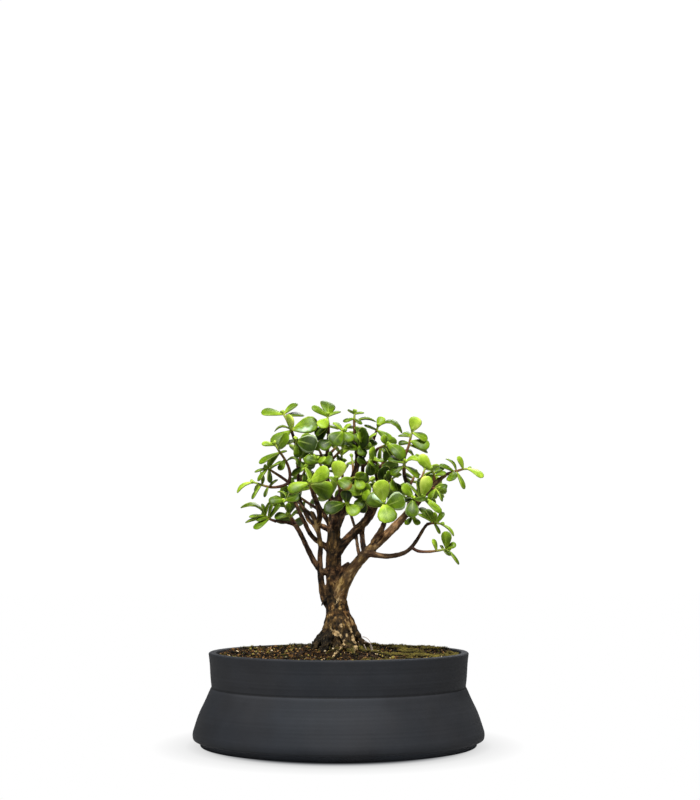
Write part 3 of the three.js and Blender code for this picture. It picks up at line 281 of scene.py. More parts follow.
def turned_pot():
    """A lathe: (r cos a, r sin a, z) for the outline (r, z), drawn in by the ridges that fingers leave,
    sin(2 pi z / ridge + 1.5 sin a), and by a slow wobble. Heights above the foot only are drawn in."""
    outline = stepped(rounded(POT_OUTSIDE + POT_INSIDE), POT_STEP, STEPPED_BEYOND)
    angle = np.linspace(0, 2 * math.pi, POT_SIDES, endpoint=False)
    r, a = np.meshgrid(outline[:, 0], angle, indexing="ij")
    z = np.broadcast_to(outline[:, 1:], r.shape)
    points = np.stack([r * np.cos(a), r * np.sin(a), z], -1).reshape(-1, 3)
    above = np.clip((points[:, 2] - FOOT_HEIGHT) / FOOT_HEIGHT, 0, 1)
    ridges = 1 + np.sin(2 * math.pi * points[:, 2] / THROWING_RIDGE + 1.5 * np.sin(a.ravel()))
    wobble = value_noise(points * WOBBLE_DRAWN_IN, WOBBLE_SIZE, 5)
    drawn_in = above * (THROWING_DEPTH * ridges / 2 + WALL_WOBBLE * wobble)
    points[:, :2] *= (1 - drawn_in / r.ravel())[:, None]
    return points, [rolled(len(outline), POT_SIDES)]


# Stoneware clay coloured black with iron and manganese, turned and fired bare: nearly black, dull, with
# soft clouds of warmer and cooler grey, fine grit, and faint level streaks where the rib went round
THROWN_STREAK = 1.3
CLAY_GRIT = 0.5
CLAY_CLOUD = 31.25
WARM_CLOUD = 47.62
unglazed_stoneware, tree, place = new_material("unglazed_black_stoneware")
round_the_pot = add(tree, "Mapping", {"Vector": place, "Scale": (9, 9, 1 / (THROWN_STREAK * MM))})
streaks = add(tree, "TexNoise", {"Vector": round_the_pot, "Scale": 1, "Detail": 3})
clouds = add(tree, "TexNoise", {
    "Vector": place, "Scale": 1 / (CLAY_CLOUD * MM), "Detail": 4, "Roughness": 0.55,
})
warmth = add(tree, "TexNoise", {"Vector": place, "Scale": 1 / (WARM_CLOUD * MM), "Detail": 2})
grit = add(tree, "TexNoise", {"Vector": place, "Scale": 1 / (CLAY_GRIT * MM), "Detail": 2})
warm = add(tree, "MapRange", {"Value": warmth, "From Min": 0.35, "From Max": 0.65})
body = add(tree, "Mix", {
    "Factor": warm, "A": linear(0x25282D), "B": linear(0x28292C),
}, data_type="RGBA")
level = add(tree, "Math", {0: streaks, 1: 0.35, 2: clouds}, operation="MULTIPLY_ADD")
shade = add(tree, "MapRange", {
    "Value": level, "From Min": 0.45, "From Max": 0.9, "To Min": 1.12, "To Max": 1.7,
})
toned = add(tree, "VectorMath", {0: body, "Scale": shade}, operation="SCALE")
# The crease is painted darker, as painted shade, the turned edge just under it has a painted highlight, and
# the foot ring is painted lighter, against the shade that falls under the skirt
height = add(tree, "SeparateXYZ", {0: place}).outputs["Z"]
# The foot ring is painted lighter, against the shade that falls under the skirt
painted_foot_light = add(tree, "MapRange", {
    "Value": height, "From Min": 3.4 * MM, "From Max": 3.9 * MM, "To Min": 2.6, "To Max": 1,
})
by_crease = add(tree, "MapRange", {
    "Value": height, "From Min": (CREASE_HEIGHT - 4) * MM, "From Max": (CREASE_HEIGHT + 4) * MM,
})
# A painted line of shade in the crease, and a painted highlight on the edge just under it
painted_crease_shade_and_highlight = add(tree, "ValToRGB", {0: by_crease}, stops=[
    (0.2, 0xD8D8D8), (0.4, 0xF4F4F4), (0.47, 0x989898), (0.54, 0x989898), (0.66, 0xD8D8D8),
])
in_crease = add(tree, "VectorMath", {0: toned, 1: painted_crease_shade_and_highlight}, operation="MULTIPLY")
creased = add(tree, "VectorMath", {0: in_crease, "Scale": painted_foot_light}, operation="SCALE")
speck = add(tree, "MapRange", {"Value": grit, "From Min": 0.66, "From Max": 0.74, "To Max": 0.2})
colour = add(tree, "Mix", {"Factor": speck, "A": creased, "B": linear(0x4A4C4E)}, data_type="RGBA")
dull = add(tree, "MapRange", {"Value": clouds, "To Min": 0.66, "To Max": 0.8})
relief = add(tree, "Math", {0: streaks, 1: grit}, operation="ADD")
bump = add(tree, "Bump", {"Height": relief, "Strength": 0.25, "Distance": 0.1 * MM})
clay = add(tree, "BsdfPrincipled", {
    "Base Color": colour, "Roughness": dull, "Normal": bump, "Specular IOR Level": 0.2,
})
add(tree, "OutputMaterial", {"Surface": clay})

pot = surface("clay_pot", *turned_pot(), unglazed_stoneware)
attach(pot, "root")
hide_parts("pot")


# The drain mesh.
# A square of moulded black plastic net over the drain hole, laid in before the soil, so that water runs
# out and the soil stays in. Its own solid is right, and only gets its finish.
NET_GRAIN = 0.4
# Polyethylene, moulded: black, a little greasy, with the mould's fine grain
moulded_polyethylene, tree, place = new_material("moulded_black_polyethylene")
grain = add(tree, "TexNoise", {"Vector": place, "Scale": 1 / (NET_GRAIN * MM), "Detail": 3})
tint = add(tree, "ValToRGB", {0: grain}, stops=[(0.3, 0x141414), (0.8, 0x262626)])
bump = add(tree, "Bump", {"Height": grain, "Strength": 0.3, "Distance": 0.1 * MM})
plastic = add(tree, "BsdfPrincipled", {"Base Color": tint, "Roughness": 0.5, "Normal": bump})
add(tree, "OutputMaterial", {"Surface": plastic})
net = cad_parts["drain_mesh"]
net.data.materials.clear()
net.data.materials.append(moulded_polyethylene)


# The soil.
# A free-draining mix of baked clay, composted bark and grit, pressed round the roots in a low mound
# that falls to just under the rim. The bed is made anew in place of its imported body, and loose grains
# lie all over it.
SOIL_EDGE_HEIGHT = 59.6
SOIL_EDGE_RADIUS = 83.6
MOUND_RISE = 7
MOUND_RADIUS = 34
SOIL_RELIEF = 0.9
SOIL_RELIEF_SIZES = (7, 2.6)
BACK_SWELL = 2.4
SOIL_SIDES = 220
SOIL_RING_STEP = 0.9
# Moss on the bed: the sizes of its patches, how much of it stays bare, and how high it stands
MOSS_PATCHES = (11, 3.5)
MOSS_LEVEL = 0.63
MOSS_RISE = 0.7
# The bed's underside and side: radius and height, raised in the middle over the drain mesh
SOIL_UNDERSIDE = [(10, 11.6), (17.6, 11.6), (18, 10.3), (87.7, 10.3), (91.7, 14), (90.1, 22), (81.3, 41.3)]
# The loose grains: how many, their radius, how much of it each axis may lose, how far their points are
# shifted, how far they are lifted, as a share of their height, and the colours of their kinds
GRAINS = 5200
GRAIN_RADIUS = (0.42, 1.25)
LARGE_GRAINS = 200
LARGE_GRAIN_RADIUS = (1.2, 1.8)
GRAIN_FLATNESS = (0.6, 1)
GRAIN_UNEVENNESS = 0.22
GRAIN_RISE = 0.3
GRAIN_SEED = 7
GRAIN_COLOURS = [
    (0, 0x0C0905), (0.3, 0x1E150A), (0.5, 0x3A2A15), (0.66, 0x5E4220), (0.78, 0x7E5E36), (0.86, 0x3C3A10),
    (0.94, 0x8A7C3C), (0.975, 0xC8B490),
]


def soil_height(x, y):
    """The mound: edge + rise exp(-(r / radius)^2), lower at the right, and heaped up to the rim behind the
    tree by swell b^2 (3 - 2 b) with b = (y + 6) / 40 times (r - 20) / 30, each from 0 to 1, with a soft
    relief of its own."""
    r = np.hypot(x, y)
    mound = MOUND_RISE * np.exp(-((r / MOUND_RADIUS) ** 2)) * (1 - 0.3 * x / (r + 10))
    behind = np.clip((y + 6) / 40, 0, 1) * np.clip((r - 20) / 30, 0, 1)
    mound = mound + BACK_SWELL * behind * behind * (3 - 2 * behind)
    flat = np.stack([x, y, 0 * x], -1).reshape(-1, 3)
    slow, fast = SOIL_RELIEF_SIZES
    relief = value_noise(flat, slow, 11) + 0.5 * value_noise(flat, fast, 12) - 0.75
    return SOIL_EDGE_HEIGHT + mound + SOIL_RELIEF * relief.reshape(r.shape)


def moss_cover(x, y):
    """How mossy the soil is, from 0 to 1: patches of a slow noise, more of them at the right by x / 50, at
    the back by y / 60, and close round the trunk by exp(-((r - 16) / 9)^2), less MOSS_LEVEL, times 5."""
    r = np.hypot(x, y)
    flat = np.stack([x, y, 0 * x], -1).reshape(-1, 3)
    slow, fast = MOSS_PATCHES
    patches = 0.55 * value_noise(flat, slow, 21) + 0.45 * value_noise(flat, fast, 22)
    favoured = 0.1 * np.clip(x / 50, -1, 1) + 0.12 * np.clip(y / 60, -1, 1)
    round_trunk = 0.2 * np.exp(-(((r - 16) / 9) ** 2))
    return np.clip((patches.reshape(r.shape) + favoured + round_trunk - MOSS_LEVEL) * 5, 0, 1)


def capped(rings, sides):
    """The faces of a run of rings that is closed at both ends: the point after the last ring's closes the
    first ring, and the one after that closes the last."""
    here = np.arange(sides)
    beside = (here + 1) % sides
    last = (rings - 1) * sides
    first_end = np.stack([np.full(sides, rings * sides), beside, here], 1)
    last_end = np.stack([np.full(sides, rings * sides + 1), last + here, last + beside], 1)
    return [rolled(rings, sides, is_ring=False), first_end, last_end]


def soil_bed():
    """A lathe of (r, z) up the side and in over the top, whose top follows soil_height."""
    rings = np.arange(SOIL_EDGE_RADIUS, 1, -SOIL_RING_STEP)
    top = np.stack([rings, np.full(len(rings), SOIL_EDGE_HEIGHT)], 1)
    outline = np.concatenate([np.array(SOIL_UNDERSIDE, float), top])
    angle = np.linspace(0, 2 * math.pi, SOIL_SIDES, endpoint=False)
    r, a = np.meshgrid(outline[:, 0], angle, indexing="ij")
    x, y = r * np.cos(a), r * np.sin(a)
    z = np.broadcast_to(outline[:, 1:], r.shape).copy()
    on_top = slice(len(SOIL_UNDERSIDE), None)
    z[on_top] = soil_height(x[on_top], y[on_top]) + MOSS_RISE * moss_cover(x[on_top], y[on_top])
    points = np.stack([x, y, z], -1).reshape(-1, 3)
    poles = [[0, 0, SOIL_UNDERSIDE[0][1]], [0, 0, z[-1].mean()]]
    return np.concatenate([points, poles]), capped(len(outline), SOIL_SIDES)


def pebble():
    """A cube with its corners and the middles of its faces at one distance: 14 points, 24 triangles."""
    corners = np.array(list(np.ndindex(2, 2, 2))) * 2.0 - 1
    middles = np.concatenate([np.eye(3), -np.eye(3)])
    a, b = np.nonzero(np.triu(np.linalg.norm(corners[:, None] - corners, axis=2) == 2))
    edge, side = np.nonzero((corners[a] @ middles.T > 0) & (corners[b] @ middles.T > 0))
    points = np.concatenate([corners / math.sqrt(3), middles])
    return points, outward(points, np.stack([a[edge], b[edge], 8 + side], 1))


def outward(points, triangles):
    """Triangles of a shape round the origin, turned so that each faces away from it."""
    first, second, third = (points[triangles[:, k]] for k in range(3))
    faces_in = (np.cross(second - first, third - first) * first).sum(1) < 0
    return np.where(faces_in[:, None], triangles[:, ::-1], triangles)


def scattered(shape, places, sizes, draw, unevenness=0.0, tilt=None):
    """Copies of a shape at places: stretched to sizes, made uneven, and turned by a drawn unit quaternion,
    or only round the upright and leant over by up to tilt where one is given."""
    points, triangles = shape
    copies = points[None] * sizes[:, None, :]
    copies = copies * (1 + unevenness * draw.uniform(-1, 1, copies.shape[:2])[..., None])
    turn = draw.normal(size=(len(places), 4))
    if tilt is not None:
        about = draw.uniform(0, 2 * math.pi, len(places))
        lean = draw.uniform(-tilt, tilt, (len(places), 2)) / 2
        turn = np.stack([np.cos(about / 2), lean[:, 0], lean[:, 1], np.sin(about / 2)], 1)
    w, x, y, z = (turn / np.linalg.norm(turn, axis=1, keepdims=True)).T
    rows = [
        [1 - 2 * (y * y + z * z), 2 * (x * y - w * z), 2 * (x * z + w * y)],
        [2 * (x * y + w * z), 1 - 2 * (x * x + z * z), 2 * (y * z - w * x)],
        [2 * (x * z - w * y), 2 * (y * z + w * x), 1 - 2 * (x * x + y * y)],
    ]
    turned = np.einsum("ijn,npj->npi", np.array(rows), copies) + places[:, None]
    faces = triangles[None] + (np.arange(len(places)) * len(points))[:, None, None]
    return turned.reshape(-1, 3), [faces.reshape(-1, triangles.shape[1])]


def strewn(count, draw, inner=6):
    """Drawn places on the soil, even over its area: radius R sqrt(u), with their heights."""
    r = np.sqrt(draw.uniform((inner / SOIL_EDGE_RADIUS) ** 2, 1, count)) * (SOIL_EDGE_RADIUS - 1)
    a = draw.uniform(0, 2 * math.pi, count)
    x, y = r * np.cos(a), r * np.sin(a)
    return np.stack([x, y, soil_height(x, y)], 1)


# Composted bark and humus, damp and pressed: dark brown crumbs, green where moss has begun to grow
packed_humus, tree, place = new_material("packed_humus_and_bark")
crumbs = add(tree, "TexNoise", {
    "Vector": place, "Scale": 1 / (1.6 * MM), "Detail": 5, "Roughness": 0.7,
})
brown = add(tree, "ValToRGB", {0: crumbs}, stops=[(0.36, 0x0B0703), (0.52, 0x20140A), (0.7, 0x4C331C)])
green = add(tree, "ValToRGB", {0: crumbs}, stops=[(0.3, 0x121208), (0.7, 0x322F10)])
moss = add(tree, "Attribute", attribute_name="moss").outputs["Fac"]
colour = add(tree, "Mix", {"Factor": moss, "A": brown, "B": green}, data_type="RGBA")
bump = add(tree, "Bump", {"Height": crumbs, "Strength": 0.9, "Distance": 0.5 * MM})
humus = add(tree, "BsdfPrincipled", {
    "Base Color": colour, "Roughness": 0.95, "Normal": bump, "Specular IOR Level": 0.1,
})
add(tree, "OutputMaterial", {"Surface": humus})

points, faces = soil_bed()
bed = surface("soil_bed", points, faces, packed_humus)
attribute(bed, "moss", moss_cover(points[:, 0], points[:, 1]))
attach(bed, "root")
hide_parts("soil")

# Baked clay, bark and pumice, sieved: each grain has one colour of its own, dull and dusty
sieved_grit, tree, place = new_material("sieved_clay_bark_and_pumice")
kind = add(tree, "Attribute", attribute_name="kind").outputs["Fac"]
of_kind = add(tree, "ValToRGB", {0: kind}, stops=GRAIN_COLOURS)
of_kind.color_ramp.interpolation = "CONSTANT"
pores = add(tree, "TexNoise", {"Vector": place, "Scale": 1 / (0.5 * MM), "Detail": 3})
shade = add(tree, "MapRange", {"Value": pores, "To Min": 0.4, "To Max": 1.5})
toned = add(tree, "VectorMath", {0: of_kind, "Scale": shade}, operation="SCALE")
bump = add(tree, "Bump", {"Height": pores, "Strength": 0.6, "Distance": 0.2 * MM})
grit = add(tree, "BsdfPrincipled", {
    "Base Color": toned, "Roughness": 0.9, "Normal": bump, "Specular IOR Level": 0.1,
})
add(tree, "OutputMaterial", {"Surface": grit})

draw = np.random.default_rng(GRAIN_SEED)
for name, count, (least, most) in (
    ("soil_grains", GRAINS, GRAIN_RADIUS), ("large_soil_grains", LARGE_GRAINS, LARGE_GRAIN_RADIUS),
):
    places = strewn(count, draw)
    radii = least + (most - least) * draw.uniform(0, 1, (count, 1)) ** 2
    sizes = radii * draw.uniform(*GRAIN_FLATNESS, (count, 3))
    places[:, 2] += GRAIN_RISE * sizes[:, 2]
    grains = surface(name, *scattered(pebble(), places, sizes, draw, GRAIN_UNEVENNESS), sieved_grit)
    attribute(grains, "kind", np.repeat(draw.uniform(0, 1, count), len(pebble()[0])))
    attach(grains, "root")


# The moss.
# Short cushion moss that has settled on the damp soil: tufts of fine upright leaves, thickest at the
# right of the trunk and close round its foot.
MOSS_TUFTS = 5200
TUFT_BLADES = 6
BLADE_HEIGHT = (0.9, 1.9)
BLADE_RADIUS = 0.2
BLADE_LEAN = 0.45
BLADE_TURN = 2.4
TUFT_TILT = 0.4
TUFT_BREADTH = 0.8
TUFT_RISE = 0.5
MOSS_SEED = 8


def tuft():
    """Blades that lean out from one spot: each is a narrow tetrahedron, one high and BLADE_RADIUS wide."""
    around = np.linspace(0, 2 * math.pi, 3, endpoint=False)
    foot = np.stack([np.cos(around), np.sin(around), 0 * around], 1) * BLADE_RADIUS
    blade = np.concatenate([foot, [[0, 0, 1]]])
    sides = np.array([[0, 1, 3], [1, 2, 3], [2, 0, 3], [2, 1, 0]])
    about = np.arange(TUFT_BLADES) * BLADE_TURN
    outwards = np.stack([np.cos(about), np.sin(about), 0 * about], 1) * BLADE_LEAN
    places = outwards[:, None] * (0.5 + blade[None, :, 2:]) + blade
    faces = sides + 4 * np.arange(TUFT_BLADES)[:, None, None]
    return places.reshape(-1, 3), faces.reshape(-1, 3)


# Living moss: matt olive green, yellower at the tips, that lets a little light through
cushion_moss, tree, place = new_material("cushion_moss")
tip = add(tree, "Attribute", attribute_name="tip").outputs["Fac"]
patch = add(tree, "TexNoise", {"Vector": place, "Scale": 1 / (7 * MM), "Detail": 3})
level = add(tree, "Math", {0: tip, 1: patch}, operation="ADD")
shade = add(tree, "Math", {0: level, 1: 0.6}, operation="MULTIPLY")
green = add(tree, "ValToRGB", {0: shade}, stops=[
    (0.2, 0x0E0C07), (0.5, 0x28230D), (0.72, 0x4C4417), (0.92, 0x84762F),
])
leafy = add(tree, "BsdfPrincipled", {"Base Color": green, "Roughness": 0.85, "Specular IOR Level": 0.2})
add(tree, "OutputMaterial", {"Surface": leafy})

# Four times as many places are drawn as are used, because most lie where no moss grows
draw = np.random.default_rng(MOSS_SEED)
places = strewn(4 * MOSS_TUFTS, draw, inner=4)
places = places[moss_cover(places[:, 0], places[:, 1]) > draw.uniform(0.1, 0.9, len(places))][:MOSS_TUFTS]
places[:, 2] += TUFT_RISE
tall = draw.uniform(*BLADE_HEIGHT, len(places))
sizes = np.stack([tall * TUFT_BREADTH, tall * TUFT_BREADTH, tall], 1)
moss = surface("moss", *scattered(tuft(), places, sizes, draw, tilt=TUFT_TILT), cushion_moss)
attribute(moss, "tip", np.tile(tuft()[0][:, 2] > 0.5, len(places)))
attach(moss, "root")


# The wood.
# Trunk, limbs and the roots that run into the soil are one living piece, grown and then pruned back
# over the years: a flared foot with root lobes, cracked bark, and rings where pairs of leaves once sat.
# A row gives the place to the right, the depth, the height and the radius, as the eye sees them.
LIMBS = {
    "trunk": [
        (0, 0, 50, 17), (-1, 0, 60, 16.5), (-0.6, 0, 66, 15.5), (-0.6, 0, 72, 13), (-0.5, 0, 80, 10.8),
        (-0.8, 0, 88, 8.3), (-1.4, 0, 96, 7.2), (-2.2, 0, 104, 6.6), (-3.2, 0, 113, 5.9),
        (-3.7, 1, 124, 5.2), (-3.6, 1, 134, 5), (-3.4, 2, 143, 4.8), (-3, 2, 152, 4.3),
        (-2, 3, 163, 3.4), (2.4, 4, 171.6, 2.7), (8.4, 5, 179.6, 2.2), (12.2, 5, 189, 1.9),
        (12.8, 4, 199, 1.8), (11.2, 3, 209, 1.6),
    ],
    "right": [
        (0, -1, 101.6, 6), (3.2, -3, 109.2, 5.2), (8.2, -5, 117, 4.3), (14.3, -7, 125, 3.7),
        (20.5, -8, 131.6, 3.5), (27.5, -9, 137.8, 3.3), (34.3, -10, 144.1, 3.1),
        (40.8, -10, 150.4, 2.8), (46.8, -10, 157, 2.4), (53, -10, 163, 2.1), (58, -11, 169, 1.8),
        (64, -12, 175.5, 1.7), (70, -14, 181, 1.6), (75, -15, 184.8, 1.3),
    ],
    "low_right": [
        (18, -8, 130.4, 2.4), (25, -10, 129.1, 2), (33, -12, 128.1, 1.8), (40, -13, 128.8, 1.7),
        (46, -14, 130.8, 1.5), (50, -14, 133.8, 1.4), (54.2, -13, 139.4, 1.3), (58.2, -12, 146, 1.2),
        (61, -11, 150, 1.1),
    ],
    "middle": [
        (-2, 0, 130, 4), (3, 2, 136.5, 3.4), (8, 3, 142, 3.1), (13.5, 4, 147.5, 3),
        (19, 5, 152.8, 2.9), (23.5, 6, 159, 2.5), (26.5, 7, 167, 2.1), (27.5, 8, 177, 1.8),
        (26, 9, 187, 1.6), (24.5, 9, 197, 1.5), (23.6, 8, 205, 1.3), (24.6, 7, 211, 1.1),
    ],
    "left_stem": [
        (-6, 2, 93, 2.9), (-10.2, 1, 99, 2.5), (-11.8, 0, 108, 2.2), (-12.9, -1, 118, 2.1),
        (-13, -2, 128, 1.8), (-12.7, -3, 136, 1.8), (-14, -4, 144, 1.6), (-15.7, -5, 151, 1.5),
        (-17, -5, 156, 1.3), (-18.6, -6, 158.8, 1.1),
    ],
    "left_low": [
        (-14, 0, 119.5, 2), (-17.7, 3, 125.5, 2), (-21.2, 5, 132.5, 1.9), (-24.3, 7, 139, 1.8),
        (-27.5, 9, 145.3, 1.7), (-31, 10, 150, 1.5), (-37, 9, 151.5, 1.2), (-43.5, 7, 152.2, 1),
    ],
    "left_mid": [
        (-6, 2, 131.5, 2.4), (-11, 3, 136.2, 1.9), (-17, 3, 140.2, 1.7), (-21, 2, 145.5, 1.6),
        (-24, 1, 152, 1.5), (-27.5, 0, 159, 1.4), (-30.5, -1, 166, 1.3), (-33.2, -1, 173, 1.25),
        (-34.6, -1, 179, 1.2),
    ],
    "left_tall": [
        (-6, 4, 146, 2.2), (-12, 8, 149, 1.9), (-19, 12, 151.5, 1.7), (-23, 14, 158, 1.5),
        (-27, 15, 167, 1.3), (-28, 14, 177, 1.2), (-28.5, 13, 188, 1.1), (-29.5, 11, 198, 1.05),
        (-30.4, 8, 207, 1),
    ],
    "front_left": [
        (-14.5, -4, 146, 1.8), (-14, -8, 151.5, 1.8), (-13.4, -13, 157, 1.8), (-15, -19, 164, 1.7),
        (-18, -24, 171, 1.5),
    ],
    "front_mid": [(-3, -3, 150, 2.4), (-1, -11, 157, 2), (1, -18, 164, 1.6), (1, -24, 171, 1.4)],
    "front_right": [
        (24, -9, 137.5, 2.4), (28, -13, 143.5, 2.1), (30.8, -20, 149, 1.8), (32.5, -28, 154.5, 1.5),
    ],
    "back_mid": [
        (-3, 3, 138, 2.6), (-1, 14, 147, 2.2), (3, 26, 157, 1.9), (7, 36, 169, 1.6), (9, 42, 180, 1.4),
    ],
    "back_right": [
        (18, -7, 131, 2.1), (16.4, -1, 139, 1.8), (16.8, 8, 149, 1.6), (21, 19, 160, 1.5),
        (28, 29, 170, 1.4), (35, 35, 181, 1.2),
    ],
    "back_thin": [
        (14.5, -6, 127.5, 1.5), (12.8, 0, 136, 1.2), (11.3, 6, 147, 1.1), (8, 12, 158, 1.1),
        (5, 19, 170, 1),
    ],
    "back_left": [
        (-4, 4, 128, 2.6), (-5, 14, 138, 2.2), (-6, 25, 149, 1.9), (-13, 34, 161, 1.6),
        (-18, 40, 173, 1.4),
    ],
    "right_back": [(50.5, -10, 160.5, 2), (52, 0, 164, 1.7), (54, 12, 170, 1.5), (56, 22, 177, 1.3)],
    "right_up": [
        (48, -10, 158.4, 1.9), (49, -6, 165, 1.7), (48, -5, 175, 1.5), (45.6, -6, 184, 1.4),
        (45.5, -6, 192, 1.2),
    ],
    "left_cross": [
        (-15.7, -5, 151, 1.4), (-19.6, -7, 157, 1.2), (-24.4, -7, 161.4, 1.1), (-28, -7, 165.4, 1),
    ],
    "top_left": [
        (-2, 2, 160, 2.4), (-6, 3, 170, 1.9), (-8, 3, 181, 1.7), (-8.6, 3, 193, 1.5),
        (-7.6, 2, 205, 1.3), (-7.4, 1, 213, 1.1),
    ],
    "centre_right": [
        (21, 6, 156, 1.9), (18.5, 2, 166, 1.6), (16.6, 0, 178, 1.5), (16.6, -1, 190, 1.3),
        (17, -2, 199, 1.1),
    ],
}
# Roots that run down into the soil from the flare of the trunk: right, depth and height
GROUND_ROOTS = [
    [(9, -3, 74), (16.5, -4, 67.5), (23, -5, 62), (29, -5, 55)],
    [(-9, 2, 74), (-15.5, 3, 67.5), (-21, 4, 62.5), (-26, 5, 55)],
    [(4, -8, 74), (7.5, -16, 67), (10, -23, 61), (12, -29, 54)],
    [(-5, -8, 74), (-9.5, -15, 67), (-13, -21, 61.5), (-16, -27, 54)],
    [(6, 9, 74), (10, 16, 67), (14, 22, 61), (17, 28, 54)],
    [(-6, 9, 74), (-10, 16, 67), (-14, 22, 61), (-17, 28, 54)],
]
GROUND_ROOT_RADII = [3.8, 2.7, 1.7, 1]
# Root ridges that stand out of the foot of the trunk and bend into the soil: right, depth, height, radius
ROOT_RIDGES = {
    "pale_right": [
        (6, -9.8, 83, 0.8), (8, -11.6, 77, 1.1), (10.8, -12.8, 70, 1.3), (12.4, -14.8, 64, 1.2),
        (13, -18, 57, 0.8),
    ],
    "pale_middle": [
        (4.4, -15.4, 71.5, 0.6), (2.8, -18.4, 67.2, 0.95), (-0.9, -25, 62.7, 1), (-2.2, -31, 61.1, 0.9),
        (-3.5, -37, 59.5, 0.8), (-4.5, -40, 57, 0.5),
    ],
    "middle": [(1.4, -9.5, 85, 1.4), (1.8, -12.5, 76, 1.9), (4.6, -16.5, 68, 2), (7, -20.5, 60, 1.6)],
    "left_front": [(-3.6, -9, 84, 1.6), (-5.4, -12, 76, 2.3), (-8.4, -16, 68, 2.3), (-11.4, -20, 60, 1.8)],
    "left": [(-7.4, -6, 82, 1.8), (-11, -8.5, 74, 2.4), (-15.6, -11, 67.5, 2.3), (-19.6, -13, 60, 1.8)],
    "far_left": [(-9, 0, 78, 2), (-14, -2, 70.5, 2.3), (-18.4, -4, 65, 2.1), (-23, -6, 58, 1.4)],
    "right": [
        (6, -5, 90, 1.2), (9.6, -6, 83, 1.9), (11.8, -7.4, 77, 2), (14.8, -9, 69.5, 2.1),
        (19.6, -12, 59, 1.5),
    ],
    "far_right": [(10, 2, 76, 2), (14.4, 2, 68.6, 2.2), (19.6, 2, 63.8, 2), (26, 2, 58, 1.3)],
    "back_right": [(6, 8, 80, 2), (9.5, 12, 72, 2.4), (13, 16, 66, 2.2), (17, 20, 58, 1.5)],
    "back": [(0, 9.5, 80, 2), (0.6, 14, 72, 2.4), (2, 18.5, 65, 2.2), (3, 23, 57, 1.5)],
    "back_left": [(-6, 8, 80, 2), (-9.5, 12, 71, 2.4), (-13, 16, 65, 2.2), (-17, 20, 58, 1.5)],
}
# Where wood shows without its bark on the front of the trunk: lines of right, height and half breadth
BARE_LINES = [
    [(6.2, 86, 0.3), (7.4, 80, 0.6), (9.3, 75, 1.1), (10.8, 69.8, 1.3), (11.8, 64.3, 1.2), (12, 61.5, 0.8)],
    [(-5, 77.8, 0.6), (-3.4, 76.4, 1.8), (-1.4, 74.6, 1.9), (0.8, 74, 1), (1.6, 72.8, 0.4)],
    [(1.6, 80.6, 0.7), (2, 79.8, 0.7)],
    [(5.2, 74.2, 0.6), (5.6, 73, 0.7)],
]
# Where the bark on the trunk is paler: the same
PALER_BARK_LINES = [
    [(-2.4, 95, 0.8), (-0.6, 98, 1.4), (1.6, 101.5, 1.1), (3.4, 106, 0.6)],
    [(7, 106, 0.6), (9.6, 111, 1.2), (12.6, 116.5, 1.4), (16, 121.5, 1.2)],
]
# Dead grey twigs inside the crown, on the left of the main stem, and the webs of bark in the fork of the
# right limb and between the trunk and the left stem
DEAD_TWIGS = [
    [(-12.6, -3, 135.5, 1.1), (-14.6, -6, 145, 1), (-17, -8, 153, 0.9), (-19.4, -8, 159.5, 0.7)],
    [(-14.5, -5, 143, 0.9), (-18, -6, 149, 0.8), (-22, -6, 153.4, 0.7), (-25, -5, 159.4, 0.6)],
    [(-15.6, -7, 148.6, 0.7), (-12.4, -9, 152.5, 0.7), (-11.2, -9, 158, 0.6)],
]
WEBS = [
    [(-0.6, -1.4, 112, 3.6), (3.4, -2.4, 119.5, 2.4), (7, -3, 123.6, 1.2)],
    [(-12.8, -1, 117.6, 1.9), (-9.4, -0.5, 117.4, 2.2), (-5, 0, 117, 2.8)],
]
# A broken twig that still hangs at the left of the trunk
DEAD_STUB = [(-8.4, -1, 98.6, 1.3), (-10.4, -2, 96.8, 1.1), (-12, -2.6, 94, 0.6)]
# How far the sun and the weather have bleached each limb's bark, the rest by 0.2
BLEACHED = {
    "trunk": 0.54, "right": 0.95, "low_right": 0.75, "middle": 0.4, "left_stem": 0.5, "front_right": 0.5,
}
# Heights between which bark that is less bleached than DARKENING darkens upwards, the moss thins out and
# the damp ends, how wet the bark is at most, and the radii between which young bark turns old
DARK_FROM = (94, 126)
DARKENING = 0.7
MOSSY_HEIGHTS = (65, 73)
DAMP_HEIGHTS = (76, 88)
DAMP_TOP = 90
MOST_DAMP = 0.93
AGED_RADII = (1.6, 5)
WOOD_STEP = 1.2
WOOD_SIDES = 20
VOXEL = 0.58
RELAXING_ROUNDS = 5
RELAXING_LOSS = 0.06
LEAF_SCAR_SPACING = 6.5
LEAF_SCAR_SWELL = 0.1
SCARRED_RADIUS = 3
BARK_CRACK_WIDTH = 2.4
BARK_DRAWN_OUT = 0.4
# How deep the bark's relief is on wood of these radii, how many times deeper it is at these heights of
# the foot, and how deep the knobs are there
BARK_RADII = (1, 7)
BARK_RELIEF = (0.07, 0.6)
FOOT_HEIGHTS = (62, 84)
FOOT_RELIEF = (1.8, 1)
KNOB_HEIGHTS = (61, 68, 86)
KNOB_RELIEF = (0.8, 3.4, 0)
# The lobes of the foot fade in downwards from here, over this height
FLARE_TOP = 88
FLARE_HEIGHT = 24
# Sizes of the lumps, the ragged edge of a bare place, the patches of moss and the knobs of the foot
LUMP = 5.5
RAGGED = 1.5
MOSS_SPOT = 2.2
KNOB = 2.4
# Places along a bare line that a point is compared with
LINE_STOPS = 12
# The noise is read this far from the origin, where no other piece reads it
NOISE_SHIFT = 500


def seen(rows):
    """Places in space of rows as the eye sees them: what lies a depth d behind the middle of the pot is
    spread from the line of sight by 1 + d / EYE_DISTANCE."""
    rows = np.array([row[:3] for row in rows], float)
    spread = 1 + rows[:, 1] / EYE_DISTANCE
    height = EYE_HEIGHT + (rows[:, 2] - EYE_HEIGHT) * spread
    return np.stack([rows[:, 0] * spread, rows[:, 1], height], 1)


